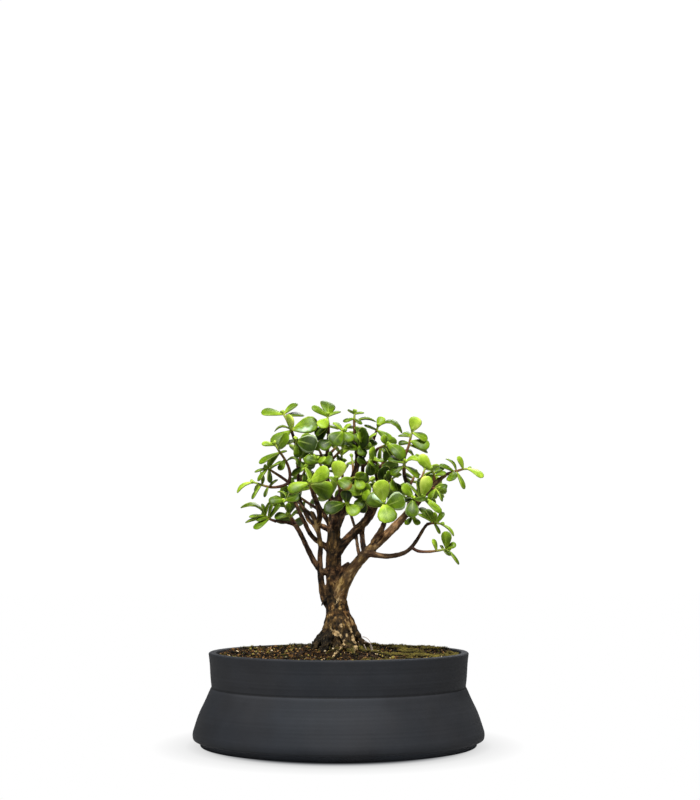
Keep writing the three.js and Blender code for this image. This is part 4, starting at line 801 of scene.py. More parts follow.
def from_front(points):
    """Right and height of places in space as the eye sees them, drawn together by the same spread."""
    spread = 1 + points[:, 1] / EYE_DISTANCE
    return np.stack([points[:, 0] / spread, EYE_HEIGHT + (points[:, 2] - EYE_HEIGHT) / spread], 1)


def along(points, shares):
    """Points of the smooth curve through the given ones, at shares of it from 0 to 1: each span is a cubic
    that meets its ends with half the step between their neighbours."""
    spans = len(points) - 1
    held = np.concatenate([[2 * points[0] - points[1]], points, [2 * points[-1] - points[-2]]])
    place = np.clip(np.atleast_1d(shares), 0, 1) * spans
    span = np.minimum(place.astype(int), spans - 1)
    w = (place - span)[:, None]
    before, start, end, after = (held[span + k] for k in range(4))
    return (
        (2 * w**3 - 3 * w**2 + 1) * start
        + (w**3 - 2 * w**2 + w) * (end - before) / 2
        + (3 * w**2 - 2 * w**3) * end
        + (w**3 - w**2) * (after - start) / 2
    )


def heading(points, shares):
    """Unit directions of the curve: the step from a thousandth before each share to one after it."""
    after = along(points, np.clip(shares, 0, 0.999) + 0.001)
    step = after - along(points, np.clip(shares, 0.001, 1) - 0.001)
    return step / np.linalg.norm(step, axis=1, keepdims=True)


def length_of(points):
    """The length of the curve, as the sum of 200 short chords."""
    return np.linalg.norm(np.diff(along(points, np.linspace(0, 1, 201)), axis=0), axis=1).sum()


def tube(points, shares, radii):
    """A closed stem: rings of middle + r (cos a across + sin a third) square to the curve, where across
    starts at the right and is carried along, and a point at each end. radii has a row for each ring."""
    middle, ahead = along(points, shares), heading(points, shares)
    across = np.empty_like(middle)
    held = np.array([0.0, 1, 0]) if abs(ahead[0, 0]) > 0.9 else np.array([1.0, 0, 0])
    for i, forward in enumerate(ahead):
        held = held - forward * (held @ forward)
        held = held / np.linalg.norm(held)
        across[i] = held
    third = np.cross(ahead, across)
    a = np.linspace(0, 2 * math.pi, radii.shape[1], endpoint=False)[None, :, None]
    r = radii[..., None]
    skin = middle[:, None] + r * (np.cos(a) * across[:, None] + np.sin(a) * third[:, None])
    end = middle[-1] + ahead[-1] * radii[-1].mean() * 0.6
    points = np.concatenate([skin.reshape(-1, 3), middle[:1], [end]])
    return points, capped(*radii.shape)


def together(shapes):
    """Several shapes as one, with the point numbers of each moved past those of the ones before it."""
    first = np.cumsum([0] + [len(points) for points, _ in shapes])
    faces = [part + start for start, (_, parts) in zip(first, shapes) for part in parts]
    quads = [part for part in faces if part.shape[1] == 4]
    triangles = [part for part in faces if part.shape[1] == 3]
    joined = [np.concatenate(group) for group in (quads, triangles) if group]
    return np.concatenate([points for points, _ in shapes]), joined


def trunk_outline(height, angle):
    """How far the trunk stands out at a height and angle: five root lobes and eight small ones that fade
    out over the foot, and slow knots that turn as they rise."""
    share = np.clip((FLARE_TOP - height) / FLARE_HEIGHT, 0, 1)
    flare = share * share * (3 - 2 * share)
    lobes = 0.1 * np.cos(5 * angle + 0.6) + 0.05 * np.cos(8 * angle + 2)
    knots = 0.04 * np.sin(2 * angle + 0.21 * height) + 0.03 * np.sin(3 * angle - 0.33 * height)
    return 1 + flare * lobes + knots


def radius_along(rows, shares):
    """The radius at shares of a limb from 0 to 1, which runs straight from each row's to the next one's."""
    return np.interp(shares * (len(rows) - 1), np.arange(len(rows)), [row[3] for row in rows])


def limb(rows):
    """A limb's tube, with a swelling at each ring of old leaf scars where it is thin:
    r (1 + swell cos(pi d / spacing)^8) for the distance d along it."""
    points = seen(rows)
    length = length_of(points)
    shares = np.linspace(0, 1, max(4, round(length / WOOD_STEP)))
    r = radius_along(rows, shares)
    scars = np.cos(math.pi * shares * length / LEAF_SCAR_SPACING) ** 8
    r = r * (1 + LEAF_SCAR_SWELL * scars * (r < SCARRED_RADIUS))
    return tube(points, shares, np.repeat(r[:, None], WOOD_SIDES, 1))


def trunk():
    """The trunk's tube, with its outline of lobes and knots all the way up its thick part."""
    points = seen(LIMBS["trunk"])
    shares = np.linspace(0, 1, round(length_of(points) / WOOD_STEP))
    r = radius_along(LIMBS["trunk"], shares)
    a = np.linspace(0, 2 * math.pi, 3 * WOOD_SIDES, endpoint=False)
    return tube(points, shares, r[:, None] * trunk_outline(along(points, shares)[:, 2:], a[None]))


def relaxed(points, edges, rounds):
    """Each point moved half way to the mean of its neighbours, several times over."""
    ends = np.concatenate([edges, edges[:, ::-1]])
    count = np.bincount(ends[:, 0], minlength=len(points))[:, None]
    for _ in range(rounds):
        total = [np.bincount(ends[:, 0], points[ends[:, 1], axis], len(points)) for axis in range(3)]
        points = (points + np.stack(total, 1) / count) / 2
    return points


def nearest(points, line, block=4000):
    """The number of the nearest point of a line to each point, in blocks to spare memory."""
    blocks = np.array_split(points, max(1, len(points) // block))
    return np.concatenate([((line**2).sum(1) - 2 * part @ line.T).argmin(1) for part in blocks])


def within(flat, lines):
    """How far each place seen from the front lies inside the nearest of some lines of right, height and
    half breadth: half breadth - distance."""
    depths = []
    for rows in lines:
        stops = np.linspace(0, len(rows) - 1, LINE_STOPS)
        dense = np.stack([np.interp(stops, np.arange(len(rows)), column) for column in zip(*rows)], 1)
        stop = dense[nearest(flat, dense[:, :2])]
        depths.append(stop[:, 2] - np.linalg.norm(flat - stop[:, :2], axis=1))
    return np.max(depths, axis=0)


def read(piece, collection, name, width, kind=np.float64):
    """A property of every item of a piece's mesh, one row an item."""
    items = getattr(piece.data, collection)
    values = np.empty(len(items) * width, kind)
    items.foreach_get(name, values)
    return values.reshape(-1, width) if width > 1 else values


# Jade tree bark: dark and thin on the twigs, grey-brown, flaky and finely cracked on the trunk, bleached
# to tan where the weather reaches it, with a slow change from reddish to olive where algae live on it,
# bare pale wood where it has come off, and a black, mossy foot
cracked_bark, tree, place = new_material("cracked_jade_tree_bark")
drawn_out = add(tree, "Attribute", attribute_name="drawn_out").outputs["Vector"]
raised, age, bleached, bare, mossy, damp = (
    add(tree, "Attribute", attribute_name=name).outputs["Fac"]
    for name in ("raised", "age", "bleached", "bare", "mossy", "damp")
)
flakes = add(tree, "TexNoise", {
    "Vector": drawn_out, "Scale": 1 / (2.8 * MM), "Detail": 3, "Roughness": 0.6,
})
grain = add(tree, "TexNoise", {
    "Vector": drawn_out, "Scale": 1 / (0.8 * MM), "Detail": 4, "Roughness": 0.75,
})
level = add(tree, "Math", {0: raised, 1: 0.3, 2: -0.43}, operation="MULTIPLY_ADD")
flaky = add(tree, "Math", {0: flakes, 1: 1.2, 2: level}, operation="MULTIPLY_ADD")
rough = add(tree, "Math", {0: grain, 1: 0.6, 2: flaky}, operation="MULTIPLY_ADD")
lit = add(tree, "Math", {0: bleached, 1: 0.3, 2: rough}, operation="MULTIPLY_ADD")
old = add(tree, "ValToRGB", {0: lit}, stops=[
    (0.44, 0x0F0A05), (0.66, 0x332717), (0.84, 0x604829), (0.96, 0x8E703F), (1.0, 0xB39766),
])
young = add(tree, "ValToRGB", {0: rough}, stops=[(0.4, 0x150E08), (0.6, 0x3C2A1C), (0.85, 0x7C6145)])
grown = add(tree, "Mix", {"Factor": age, "A": young, "B": old}, data_type="RGBA")
weathered = add(tree, "MapRange", {
    "Value": bleached, "From Min": 0.6, "From Max": 0.95, "To Max": 0.24,
})
aged = add(tree, "Mix", {"Factor": weathered, "A": grown, "B": linear(0x8A7052)}, data_type="RGBA")
slow = add(tree, "TexNoise", {"Vector": place, "Scale": 1 / (9 * MM), "Detail": 2})
lichen = add(tree, "ValToRGB", {0: slow}, stops=[(0.36, 0xF8E8E0), (0.5, 0xFFFFFF), (0.64, 0xF8F4DA)])
tinted = add(tree, "VectorMath", {0: aged, 1: lichen}, operation="MULTIPLY")
rotten = add(tree, "ValToRGB", {0: grain}, stops=[
    (0.48, 0x050402), (0.57, 0x15110A), (0.65, 0x4A4028), (0.74, 0x8E8054),
])
blackened = add(tree, "Mix", {"Factor": damp, "A": tinted, "B": rotten}, data_type="RGBA")
moss_green = add(tree, "ValToRGB", {0: grain}, stops=[
    (0.4, 0x161407), (0.56, 0x4E461A), (0.7, 0x9C8C36),
])
greened = add(tree, "Mix", {"Factor": mossy, "A": blackened, "B": moss_green}, data_type="RGBA")
pale_wood = add(tree, "ValToRGB", {0: grain}, stops=[(0.36, 0x7A5C34), (0.6, 0xD0B484)])
torn = add(tree, "Math", {0: grain, 1: 1.6, 2: bare}, operation="MULTIPLY_ADD")
peeled = add(tree, "MapRange", {"Value": torn, "From Min": 1.25, "From Max": 1.5, "To Max": 0.85})
colour = add(tree, "Mix", {"Factor": peeled, "A": greened, "B": pale_wood}, data_type="RGBA")
relief = add(tree, "Math", {0: grain, 1: flakes}, operation="ADD")
bump = add(tree, "Bump", {"Height": relief, "Strength": 0.9, "Distance": 0.4 * MM})
bark = add(tree, "BsdfPrincipled", {
    "Base Color": colour, "Roughness": 0.85, "Normal": bump, "Specular IOR Level": 0.18,
})
add(tree, "OutputMaterial", {"Surface": bark})

# All the wood as overlapping tubes, melted into one closed skin
limbs = [rows for name, rows in LIMBS.items() if name != "trunk"] + [DEAD_STUB, *WEBS, *DEAD_TWIGS]
roots = [[(*place, r) for place, r in zip(rows, GROUND_ROOT_RADII)] for rows in GROUND_ROOTS]
roots += ROOT_RIDGES.values()
tubes = surface("wood_tubes", *together([trunk(), *map(limb, limbs), *map(limb, roots)]))
voxels = tubes.modifiers.new("voxels", "REMESH")
voxels.mode = "VOXEL"
voxels.voxel_size = VOXEL * MM
skin = bpy.data.meshes.new_from_object(tubes.evaluated_get(bpy.context.evaluated_depsgraph_get()))
bpy.data.objects.remove(tubes)
branches = placed("branches", skin)

# The middle line of every limb, with its direction, radius and bleached bark, tells what each point of
# the skin is part of. The last number of each is the least radius that its bark is made for
grown = [(LIMBS["trunk"], BLEACHED["trunk"], 0), (DEAD_STUB, 0, 5)]
grown += [(rows, 0.5, 0) for rows in WEBS]
grown += [(rows, 0.9, 5) for rows in DEAD_TWIGS]
grown += [(rows, BLEACHED.get(name, 0.2), 0) for name, rows in LIMBS.items() if name != "trunk"]
grown += [(rows, 0.5, 5) for rows in roots]
lines = []
for rows, bleach, least in grown:
    shares = np.linspace(0, 1, max(4, round(length_of(seen(rows)))))
    r = radius_along(rows, shares)
    facts = np.stack([np.maximum(r, least), 0 * r + bleach], 1)
    lines.append(np.concatenate([along(seen(rows), shares), heading(seen(rows), shares), facts], 1))
lines = np.concatenate(lines)

# The bark: cracks of two sizes, drawn out along the limb, where a noise is near its middle, flakes that
# stand raised between them, and soft lumps
points = read(branches, "vertices", "co", 3) / MM
points = relaxed(points, read(branches, "edges", "vertices", 2, np.int32), RELAXING_ROUNDS)
at = lines[nearest(points, lines[:, :3])]
middle, ahead, radius, bleach = at[:, :3], at[:, 3:6], at[:, 6], at[:, 7]
from_line = points - middle
unrolled = points - 0.5 * ahead * (from_line * ahead).sum(1, keepdims=True) - 0.5 * middle + NOISE_SHIFT
cracks = 1 - np.abs(2 * value_noise(unrolled, BARK_CRACK_WIDTH, 31) - 1)
cracks = 0.6 * cracks + 0.4 * (1 - np.abs(2 * value_noise(unrolled, BARK_CRACK_WIDTH / 2.2, 32) - 1))
lumps = value_noise(points + NOISE_SHIFT, LUMP, 33)
raised = np.clip(1.5 - 1.6 * cracks + 0.5 * (lumps - 0.5), 0, 1)
amount = np.interp(radius, BARK_RADII, BARK_RELIEF) * np.interp(points[:, 2], FOOT_HEIGHTS, FOOT_RELIEF)
branches.data.vertices.foreach_set("co", (points * MM).ravel())
branches.data.update()
normals = read(branches, "vertices", "normal", 3)
moved = RELAXING_LOSS + amount * (raised - 0.55) + 0.9 * amount * (lumps - 0.5)
# The foot is knobbly and half rotten, less so where the roots lie on the soil
knobs = value_noise(points + NOISE_SHIFT, KNOB, 36) - 0.5
moved += np.interp(points[:, 2], KNOB_HEIGHTS, KNOB_RELIEF) * knobs
points = points + normals * moved[:, None]
branches.data.vertices.foreach_set("co", (points * MM).ravel())
branches.data.update()
branches.data.shade_smooth()
branches.data.materials.append(cracked_bark)

# How far each point lies inside a bare place, as the eye sees the front, or on the pale root at the
# front, which has no bark from a tenth of its length on
BARE_ROOT_HALF = 1.3
BARE_ROOT_STOPS = 40
flat = from_front(points)
ragged = 1.1 * (value_noise(points + NOISE_SHIFT, RAGGED, 35) - 0.5)
is_front = points[:, 1] < 0
strip = along(seen(ROOT_RIDGES["pale_middle"]), np.linspace(0.1, 1, BARE_ROOT_STOPS))
on_strip = BARE_ROOT_HALF - np.linalg.norm(points - strip[nearest(points, strip)], axis=1)
bare = np.maximum(np.where(is_front, within(flat, BARE_LINES), -9), on_strip) + ragged
paler_bark = np.where(is_front, within(flat, PALER_BARK_LINES), -9) + ragged

# Moss creeps up the foot in spots, thicker at the right, and the bark is blacker low on the foot, where it
# is damp, and more so at the left
right, height = points[:, 0], points[:, 2]
creeping = np.interp(height, MOSSY_HEIGHTS, (1, 0)) * np.interp(right, (-3, 6), (0.25, 1))
spots = value_noise(points + NOISE_SHIFT, MOSS_SPOT, 34)
risen = np.interp(height, DAMP_HEIGHTS, (1, 0)) * np.interp(right, (-9, 5), (0.95, 0.6))
damp = risen + 0.5 * (lumps - 0.5)
attribute(branches, "mossy", np.clip(2.4 * (creeping + spots - 0.95), 0, 1))
attribute(branches, "damp", np.clip(damp, 0, MOST_DAMP) * (height < DAMP_TOP))
attribute(branches, "raised", raised)
attribute(branches, "bare", np.clip(np.maximum(0.5 + 0.45 * bare, 0.3 + 0.3 * paler_bark), 0, 1))
attribute(branches, "bleached", bleach * np.interp(height, DARK_FROM, (1, 0.5)) ** (bleach < DARKENING))
attribute(branches, "age", np.interp(radius, AGED_RADII, (0, 1)))
# The bark's pattern is drawn out along each limb: for each step up the limb it moves on by a smaller one
drawn_out = points - (1 - BARK_DRAWN_OUT) * middle
branches.data.attributes.new("drawn_out", "FLOAT_VECTOR", "POINT").data.foreach_set(
    "vector", (drawn_out * MM).astype(np.float32).ravel()
)
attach(branches, "root")
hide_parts("wood")

# A few bare rootlets that leave the foot of the trunk at the right, arch over and go into the soil
ROOTLETS = [
    [
        (12.6, -7, 71, 0.3), (15.4, -8, 72.6, 0.3), (18.8, -8, 72.2, 0.28), (21.8, -9, 68.6, 0.26),
        (22.8, -9, 59, 0.24),
    ],
    [(14.4, -7, 68, 0.26), (18, -8, 69.4, 0.26), (22, -8, 67.6, 0.24), (24.6, -9, 60, 0.22)],
    [(13.4, -9, 69.6, 0.26), (17.4, -11, 67.4, 0.24), (20.4, -12, 59.6, 0.22)],
]
ROOTLET_STATIONS = 24
ROOTLET_SIDES = 6
# Root bark: thin, dry and pale pinkish grey, with a fine grain
hair_root, tree, place = new_material("bare_rootlet")
grain = add(tree, "TexNoise", {"Vector": place, "Scale": 1 / (0.8 * MM), "Detail": 3})
skin = add(tree, "ValToRGB", {0: grain}, stops=[(0.3, 0x7C6C60), (0.7, 0xC0B2A8)])
root_bark = add(tree, "BsdfPrincipled", {"Base Color": skin, "Roughness": 0.8})
add(tree, "OutputMaterial", {"Surface": root_bark})
strands = []
for rows in ROOTLETS:
    shares = np.linspace(0, 1, ROOTLET_STATIONS)
    r = radius_along(rows, shares)
    strands.append(tube(seen(rows), shares, np.repeat(r[:, None], ROOTLET_SIDES, 1)))
rootlets = surface("rootlets", *together(strands), hair_root)
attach(rootlets, "root")


# The leafy shoots.
# Young twigs that carry thick waxy leaves in pairs, each pair at right angles to the one below it. The
# leaves grow straight out of the stem on hardly any stalk. Each shoot is grown out of its limb.

# Shoots that are seen from the front: the stem's rows of right, depth and height, as the eye sees them,
# and a row for each leaf: share of the stem, the tip's right, depth and height, degrees of turn, breadth
# over length, how light the leaf is, which is partly its own colour and partly painted light and shade, the
# part of its breadth that has filled out, and where they are not USUAL: its rise, how strong a painted
# reflection of the sky its wax has (below nought: how wide and pale a painted reflection its edge has
# instead), and the sun's red at its tip.
SEEN_SHOOTS = {
    "crest_left": ([
        (-30.4, 8, 207), (-32.2, 6, 212.5), (-33.8, 4, 217), (-36.3, 4, 222.5), (-38.5, 4, 226.5),
    ], [
        (1, -54, 3, 228, 55, 0.8, 0.46, 0.85), (1, -29.5, 9, 234.3, 50, 0.8, 0.5, 0.66),
        (0.93, -25, 12, 226.2, 62, 0.85, 0.22, 0.6), (0.42, -33.2, -3, 225.6, 50, 0.75, 0.72, 0.78),
        (0.42, -15, -4, 220.4, 20, 0.76, 0.46, 0.82, 0.06, 0.85),
        (0.42, -46, -5, 205.2, 30, 0.7, 0.4, 0.85), (0.42, -44.8, 5, 214.4, 84, 0.7, 0.22, 1, 0.3),
    ]),
    "round_dark": ([(-29.5, 11, 198), (-29.8, 4, 204), (-30, -1, 208.5)], [
        (1, -15.8, -7, 204.5, 5, 0.86, 0.22, 0.92, 0.06, -0.7),
        (0.85, -28.2, 2, 196.8, 35, 0.8, 0.36, 0.9), (1, -36.5, 0, 206.2, 60, 0.7, 0.2, 1),
    ]),
    "left_crest": ([
        (-34.6, -1, 179), (-34, -2, 185), (-35.5, -3, 191), (-38.5, -3, 196.5), (-42, -3, 201.5),
        (-44, -4, 205),
    ], [
        (1, -53.7, -5, 206, 50, 0.75, 0.58, 0.76), (0.82, -34.8, -3, 211.3, 45, 0.6, 0.4, 0.84),
        (0.74, -55, -8, 192.3, 62, 0.7, 0.42, 0.72), (0.74, -49.6, 3, 190.4, 50, 0.75, 0.5, 0.72),
        (0.55, -40.6, -7, 187.6, 40, 0.75, 0.38, 0.9), (0.5, -27.6, -3, 190.6, 85, 0.7, 0.22, 1, 0.4),
        (0.72, -37, 3, 200.8, 75, 0.6, 0.3, 0.9),
    ]),
    "left_side": ([(-34.6, -1, 179), (-40, -2, 182.8), (-46.5, -3, 187), (-49.5, -4, 189)], [
        (1, -58.5, -6, 186.2, 78, 0.6, 0.4, 0.66), (0.85, -40.5, 3, 193, 84, 0.6, 0.3, 0.9),
        (1, -56, -8, 180.2, 62, 0.7, 0.5, 0.64), (0.9, -48.5, -9, 179.2, 55, 0.75, 0.18, 0.66),
    ]),
    "far_left": ([
        (-34.6, -1, 179), (-39, -2, 176.8), (-44, -3, 175.8), (-48.5, -4, 176), (-54, -5, 177.5),
        (-58.5, -6, 179),
    ], [
        (1, -70.5, -7, 172, 62, 0.62, 0.7, 0.6, 0.2), (0.8, -60, -10, 167.7, 70, 0.7, 0.4, 0.62),
        (0.62, -51.3, -11, 169.2, 60, 0.6, 0.42, 0.62), (0.6, -42.8, 0, 181, 75, 0.6, 0.25, 0.85),
        (0.86, -58.6, -1, 173.5, 70, 0.6, 0.4, 0.8), (0.78, -54, -10, 186, 68, 0.6, 0.5, 0.6),
    ]),
    "left_low_tip": ([(-43.5, 7, 152.2), (-47.5, 6, 153.5), (-51, 5, 156)], [
        (1, -68, 2, 161.3, 74, 0.7, 0.55, 0.62, 0.3), (1, -62, -1, 155, 72, 0.6, 0.55, 0.62),
        (0.85, -64.7, 8, 151.3, 78, 0.6, 0.5, 0.7), (0.6, -58, -3, 146.8, 52, 0.75, 0.42, 0.66),
        (0.75, -57, 0, 152.6, 60, 0.7, 0.5, 0.76), (1, -48.3, 8, 165.2, 68, 0.6, 0.42, 0.76),
        (0.7, -45.8, 1, 164.4, 68, 0.6, 0.42, 0.66), (0.6, -40.8, 3, 163.8, 58, 0.65, 0.36, 0.66),
        (1, -53.7, 1, 164, 72, 0.6, 0.45, 0.84),
    ]),
    "left_low_inner": ([(-31, 10, 150.2), (-33, 6, 153.5), (-34.5, 4, 156)], [
        (1, -44.5, 2, 155.5, 42, 0.7, 0.36, 0.9), (1, -35.8, 0, 164.5, 50, 0.7, 0.4, 0.9),
        (0.7, -27.5, 0, 160.5, 65, 0.7, 0.35, 0.6),
    ]),
    "left_front": ([(-30.5, -1, 166), (-34, -7, 166.3), (-37, -12, 166.5)], [
        (1, -48.6, -15, 166.2, 32, 0.62, 0.4, 0.86), (1, -27, -18, 169.2, 42, 0.75, 0.3, 0.9),
        (1, -33.3, -10, 173.4, 78, 0.6, 0.26, 0.9), (0.8, -42.6, -6, 172.2, 75, 0.7, 0.4, 0.62, 0.3),
    ]),
    "front_left": ([(-18, -24, 171), (-19.4, -30, 175), (-20.2, -35, 178.8)], [
        (1, -35, -38, 173.3, 25, 0.62, 0.52, 0.85), (1, -7, -45, 187.4, 28, 0.74, 0.58, 0.82),
        (0.82, -4.6, -32, 171.6, 12, 0.82, 0.44, 0.95), (1, -22.5, -26, 189, 60, 0.75, 0.5, 0.62),
    ]),
    "left_inner": ([(-28, 14, 177), (-26, 8, 182), (-24, 2, 186.5), (-23.2, -2, 189)], [
        (1, -18.2, -8, 199.6, 48, 0.62, 0.7, 0.82), (1, -32.8, -2, 184.6, 48, 0.72, 0.36, 0.82),
        (0.62, -23.6, -1, 178.4, 45, 0.75, 0.3, 0.9), (0.85, -16.6, 2, 183.5, 60, 0.75, 0.3, 0.9),
        (0.8, -28.6, 4, 193.6, 45, 0.75, 0.3, 1),
    ]),
    "crown_top": ([(-7.4, 1, 213), (-7.3, 0, 219), (-7.9, -1, 225)], [
        (1, -18.8, -4, 231.8, 42, 0.75, 0.46, 0.66), (1, -8.2, 9, 235.6, 22, 0.85, 0.42, 0.84),
        (1, 1, 3, 228.6, 68, 0.7, 0.55, 0.66), (0.9, -12.8, -10, 217.6, 15, 0.68, 0.62, 1),
        (0.35, -16.6, -4, 212.6, 48, 0.8, 0.18, 0.9), (0.35, -1, 6, 216.8, 70, 0.7, 0.28, 1),
    ]),
    "spire": ([(11.2, 3, 209), (10.9, 2, 217), (10.6, 2, 222), (11, 2, 227)], [
        (1, 6.2, 0, 229.6, 72, 0.7, 0.35, 1), (1, 17.6, 1, 227.7, 78, 0.6, 0.35, 1),
        (0.78, 3.4, -2, 221.4, 62, 0.7, 0.35, 0.84), (0.78, 15.2, -4, 219.8, 58, 0.8, 0.35, 0.7),
        (0.58, 25.8, 3, 221.2, 80, 0.55, 0.3, 1, 0.2), (0.35, 17.8, -5, 214.6, 50, 0.75, 0.28, 0.9),
        (0.35, 5.8, 7, 217.6, 66, 0.75, 0.3, 0.9),
    ]),
    "heart": ([(-7.6, 2, 205), (-3, -4, 208.5), (0.5, -9, 212), (3, -13, 214.8)], [
        (1, -4.8, -19, 206.3, 8, 0.9, 0.34, 0.92, 0.06, -0.4), (1, 8.6, -18, 208, 14, 0.85, 0.42, 0.86),
        (1, -3.6, -10, 221, 58, 0.75, 0.56, 0.82), (1, 8, -11, 220, 60, 0.75, 0.6, 0.82),
    ]),
    "crest_right": ([(24.6, 7, 211), (26, 6, 214.4), (27, 5, 217.4)], [
        (1, 30.6, -1, 224.8, 20, 0.8, 0.62, 0.86), (1, 43.8, 3, 213.4, 62, 0.75, 0.4, 0.6, 0.4),
        (0.35, 17.8, 0, 219, 64, 0.62, 0.35, 0.6), (0.3, 36, -2, 208.6, 35, 0.8, 0.42, 0.6),
    ]),
    "right_crest": ([(45.5, -6, 192), (46, -6, 197.5), (48.5, -6, 204), (50, -7, 210), (51, -8, 214.2)], [
        (1, 54.6, -11, 224.6, 8, 0.9, 0.72, 0.88), (1, 61.4, -9, 208.6, 48, 0.72, 0.5, 0.95),
        (0.66, 62.6, -11, 203.8, 25, 0.64, 0.42, 0.98), (0.55, 61.6, -1, 200.3, 66, 0.7, 0.3, 0.7),
        (0.85, 45.4, 0, 213.8, 45, 0.8, 0.4, 0.62), (0.8, 41.6, -4, 211.6, 78, 0.6, 0.3, 1),
        (0.6, 41.6, -5, 206.6, 40, 0.85, 0.3, 0.7), (0.42, 51.6, -1, 198.6, 66, 0.7, 0.28, 1),
        (0.42, 43.6, 2, 197, 66, 0.75, 0.3, 0.9),
    ]),
    "right_leaf_big": ([(24.5, 9, 197), (26.5, 4, 202), (30, -2, 204), (33, -5, 205.5)], [
        (1, 45, -11, 195.6, 25, 0.66, 0.44, 0.76, 0.2), (0.85, 41, -3, 194, 48, 0.72, 0.35, 0.76),
        (1, 30.2, -9, 211.6, 30, 0.8, 0.5, 0.95), (0.6, 28.5, 2, 193.8, 60, 0.7, 0.5, 0.62),
    ]),
    "right_bright": ([(45.6, -6, 184), (45, -12, 189), (46, -15, 192.6)], [
        (1, 57, -18, 194, 58, 0.68, 0.6, 0.84, 0.3), (1, 34.5, -12, 196, 50, 0.75, 0.25, 0.9),
        (0.7, 36.2, -14, 184.6, 42, 0.8, 0.3, 0.84), (0.7, 55.6, -13, 182.6, 50, 0.8, 0.5, 0.68, 0.1),
    ]),
    "right_outer": ([(64, -12, 175.5), (66, -14, 180), (66.4, -16, 184), (65, -18, 187.4)], [
        (1, 55.8, -23, 197.4, 22, 0.7, 0.7, 0.84), (0.8, 73, -15, 189.4, 48, 0.7, 0.33, 0.84),
        (0.6, 61.8, -10, 183.4, 56, 0.75, 0.26, 0.9), (0.55, 74.4, -20, 185.6, 55, 0.6, 0.4, 0.9),
    ]),
    "far_right": ([(75, -15, 184.8), (78, -15, 186), (82, -15, 187), (86, -15, 188.3), (89, -15, 188.6)], [
        (1, 99.6, -26, 182.4, 52, 0.6, 0.68, 0.74, 0.12), (0.8, 83, -17, 197.2, 48, 0.72, 0.68, 0.84),
        (0.48, 74.5, -13, 195.4, 76, 0.62, 0.35, 0.9, 0.2),
        (0.48, 86.9, -20, 174.7, 62, 0.7, 0.5, 0.68), (0.28, 78.6, -22, 180.4, 42, 0.8, 0.38, 0.76),
        (0.2, 70.4, -17, 191.4, 52, 0.62, 0.4, 0.64),
    ]),
    "far_right_low": ([(64, -12, 175.5), (66.5, -15, 174.8), (68.5, -17, 175)], [
        (1, 75.4, -20, 176.2, 48, 0.8, 0.32, 1), (0.7, 71.6, -21, 166.2, 74, 0.6, 0.42, 0.8),
        (0.6, 62.6, -19, 167, 58, 0.75, 0.45, 0.76),
    ]),
    "yellow_pair": ([(53, -10, 163), (55, -15, 166), (57.8, -21, 169)], [
        (1, 62.4, -29, 183.2, 8, 0.62, 0.76, 0.84), (1, 70.3, -28, 158, 48, 0.55, 0.58, 0.68),
        (0.75, 54.4, -11, 180.4, 62, 0.72, 0.34, 0.64), (0.8, 47, -16, 178.8, 76, 0.6, 0.38, 0.7),
    ]),
    "right_round": ([(53, -10, 163), (51.8, -17, 165.5), (51.8, -23, 168)], [
        (1, 50.6, -29, 155.3, 8, 0.72, 0.32, 0.9, 0.06, -0.5), (1, 44.2, -27, 177, 40, 0.75, 0.46, 0.9),
        (0.9, 60.5, -27, 166.8, 62, 0.7, 0.28, 0.9), (0.8, 42.5, -18, 166.5, 50, 0.8, 0.25, 0.84),
    ]),
    "right_under": ([(47, -10, 157), (49.4, -15, 155.8), (51, -19, 155)], [
        (1, 55.4, -22, 149.8, 40, 0.85, 0.5, 0.9), (1, 46.8, -22, 149.8, 50, 0.85, 0.3, 0.84),
    ]),
    "low_right_tip": ([(61, -11, 150), (65, -12, 151), (70, -13, 150.6)], [
        (1, 79.6, -15, 142, 74, 0.52, 0.6, 0.7, 0.15), (0.6, 69.8, -16, 143.6, 68, 0.62, 0.4, 0.84),
        (0.8, 73, -14, 158.2, 48, 0.75, 0.4, 0.76), (0.48, 61.6, -9, 160.6, 50, 0.75, 0.4, 0.84),
        (0.44, 56.6, -7, 161.6, 48, 0.7, 0.42, 0.7), (0.5, 55.4, -11, 157, 72, 0.62, 0.4, 0.9),
        (0.7, 67.4, -19, 158, 58, 0.75, 0.6, 0.7),
    ]),
    "lowest": ([(50, -14, 134.4), (55, -16, 131.6), (62, -18, 131.2), (68, -19, 131.8), (74.4, -20, 133)], [
        (0.74, 65.2, -20, 139.8, 52, 0.75, 0.6, 0.76), (1, 75.2, -24, 145, 28, 0.72, 0.46, 0.84),
        (1, 81.2, -22, 136.4, 42, 0.85, 0.5, 0.84), (1, 83, -22, 122.4, 76, 0.6, 0.5, 0.84),
        (0.93, 70.5, -18, 135.6, 60, 0.65, 0.25, 0.9), (0.93, 76.4, -27, 128.6, 58, 0.65, 0.25, 0.84),
    ]),
    "front_mid": ([(1, -24, 171), (0.3, -30, 175.5), (-1.4, -35, 181)], [
        (1, 0.8, -40, 194, 5, 0.86, 0.72, 0.86), (1, 8, -41, 175, 22, 0.72, 0.4, 0.85, 0.06, 0, 0.6),
        (0.7, -6.5, -30, 183, 60, 0.7, 0.44, 0.84),
    ]),
    "front_low": ([(1, -18, 164), (3, -24, 164), (5, -30, 164.6)], [
        (1, 5.6, -34, 173.6, 12, 1, 0.24, 0.82), (1, 12.6, -38, 156.8, 18, 0.78, 0.52, 0.86),
        (1, -9.4, -38, 159.6, 25, 0.62, 0.24, 0.92),
    ]),
    "front_rosette": ([(32.5, -28, 154.5), (32.5, -36, 159), (31.4, -45, 165)], [
        (1, 28.4, -53, 180.4, 5, 0.88, 0.66, 0.74), (1, 34.6, -54, 151.4, 6, 0.94, 0.54, 0.82),
        (0.8, 19.8, -44, 169, 14, 0.8, 0.34, 0.92, 0.06, 1),
        (0.8, 45.4, -43, 167.6, 8, 0.98, 0.36, 0.9, 0.06, -0.8),
    ]),
}
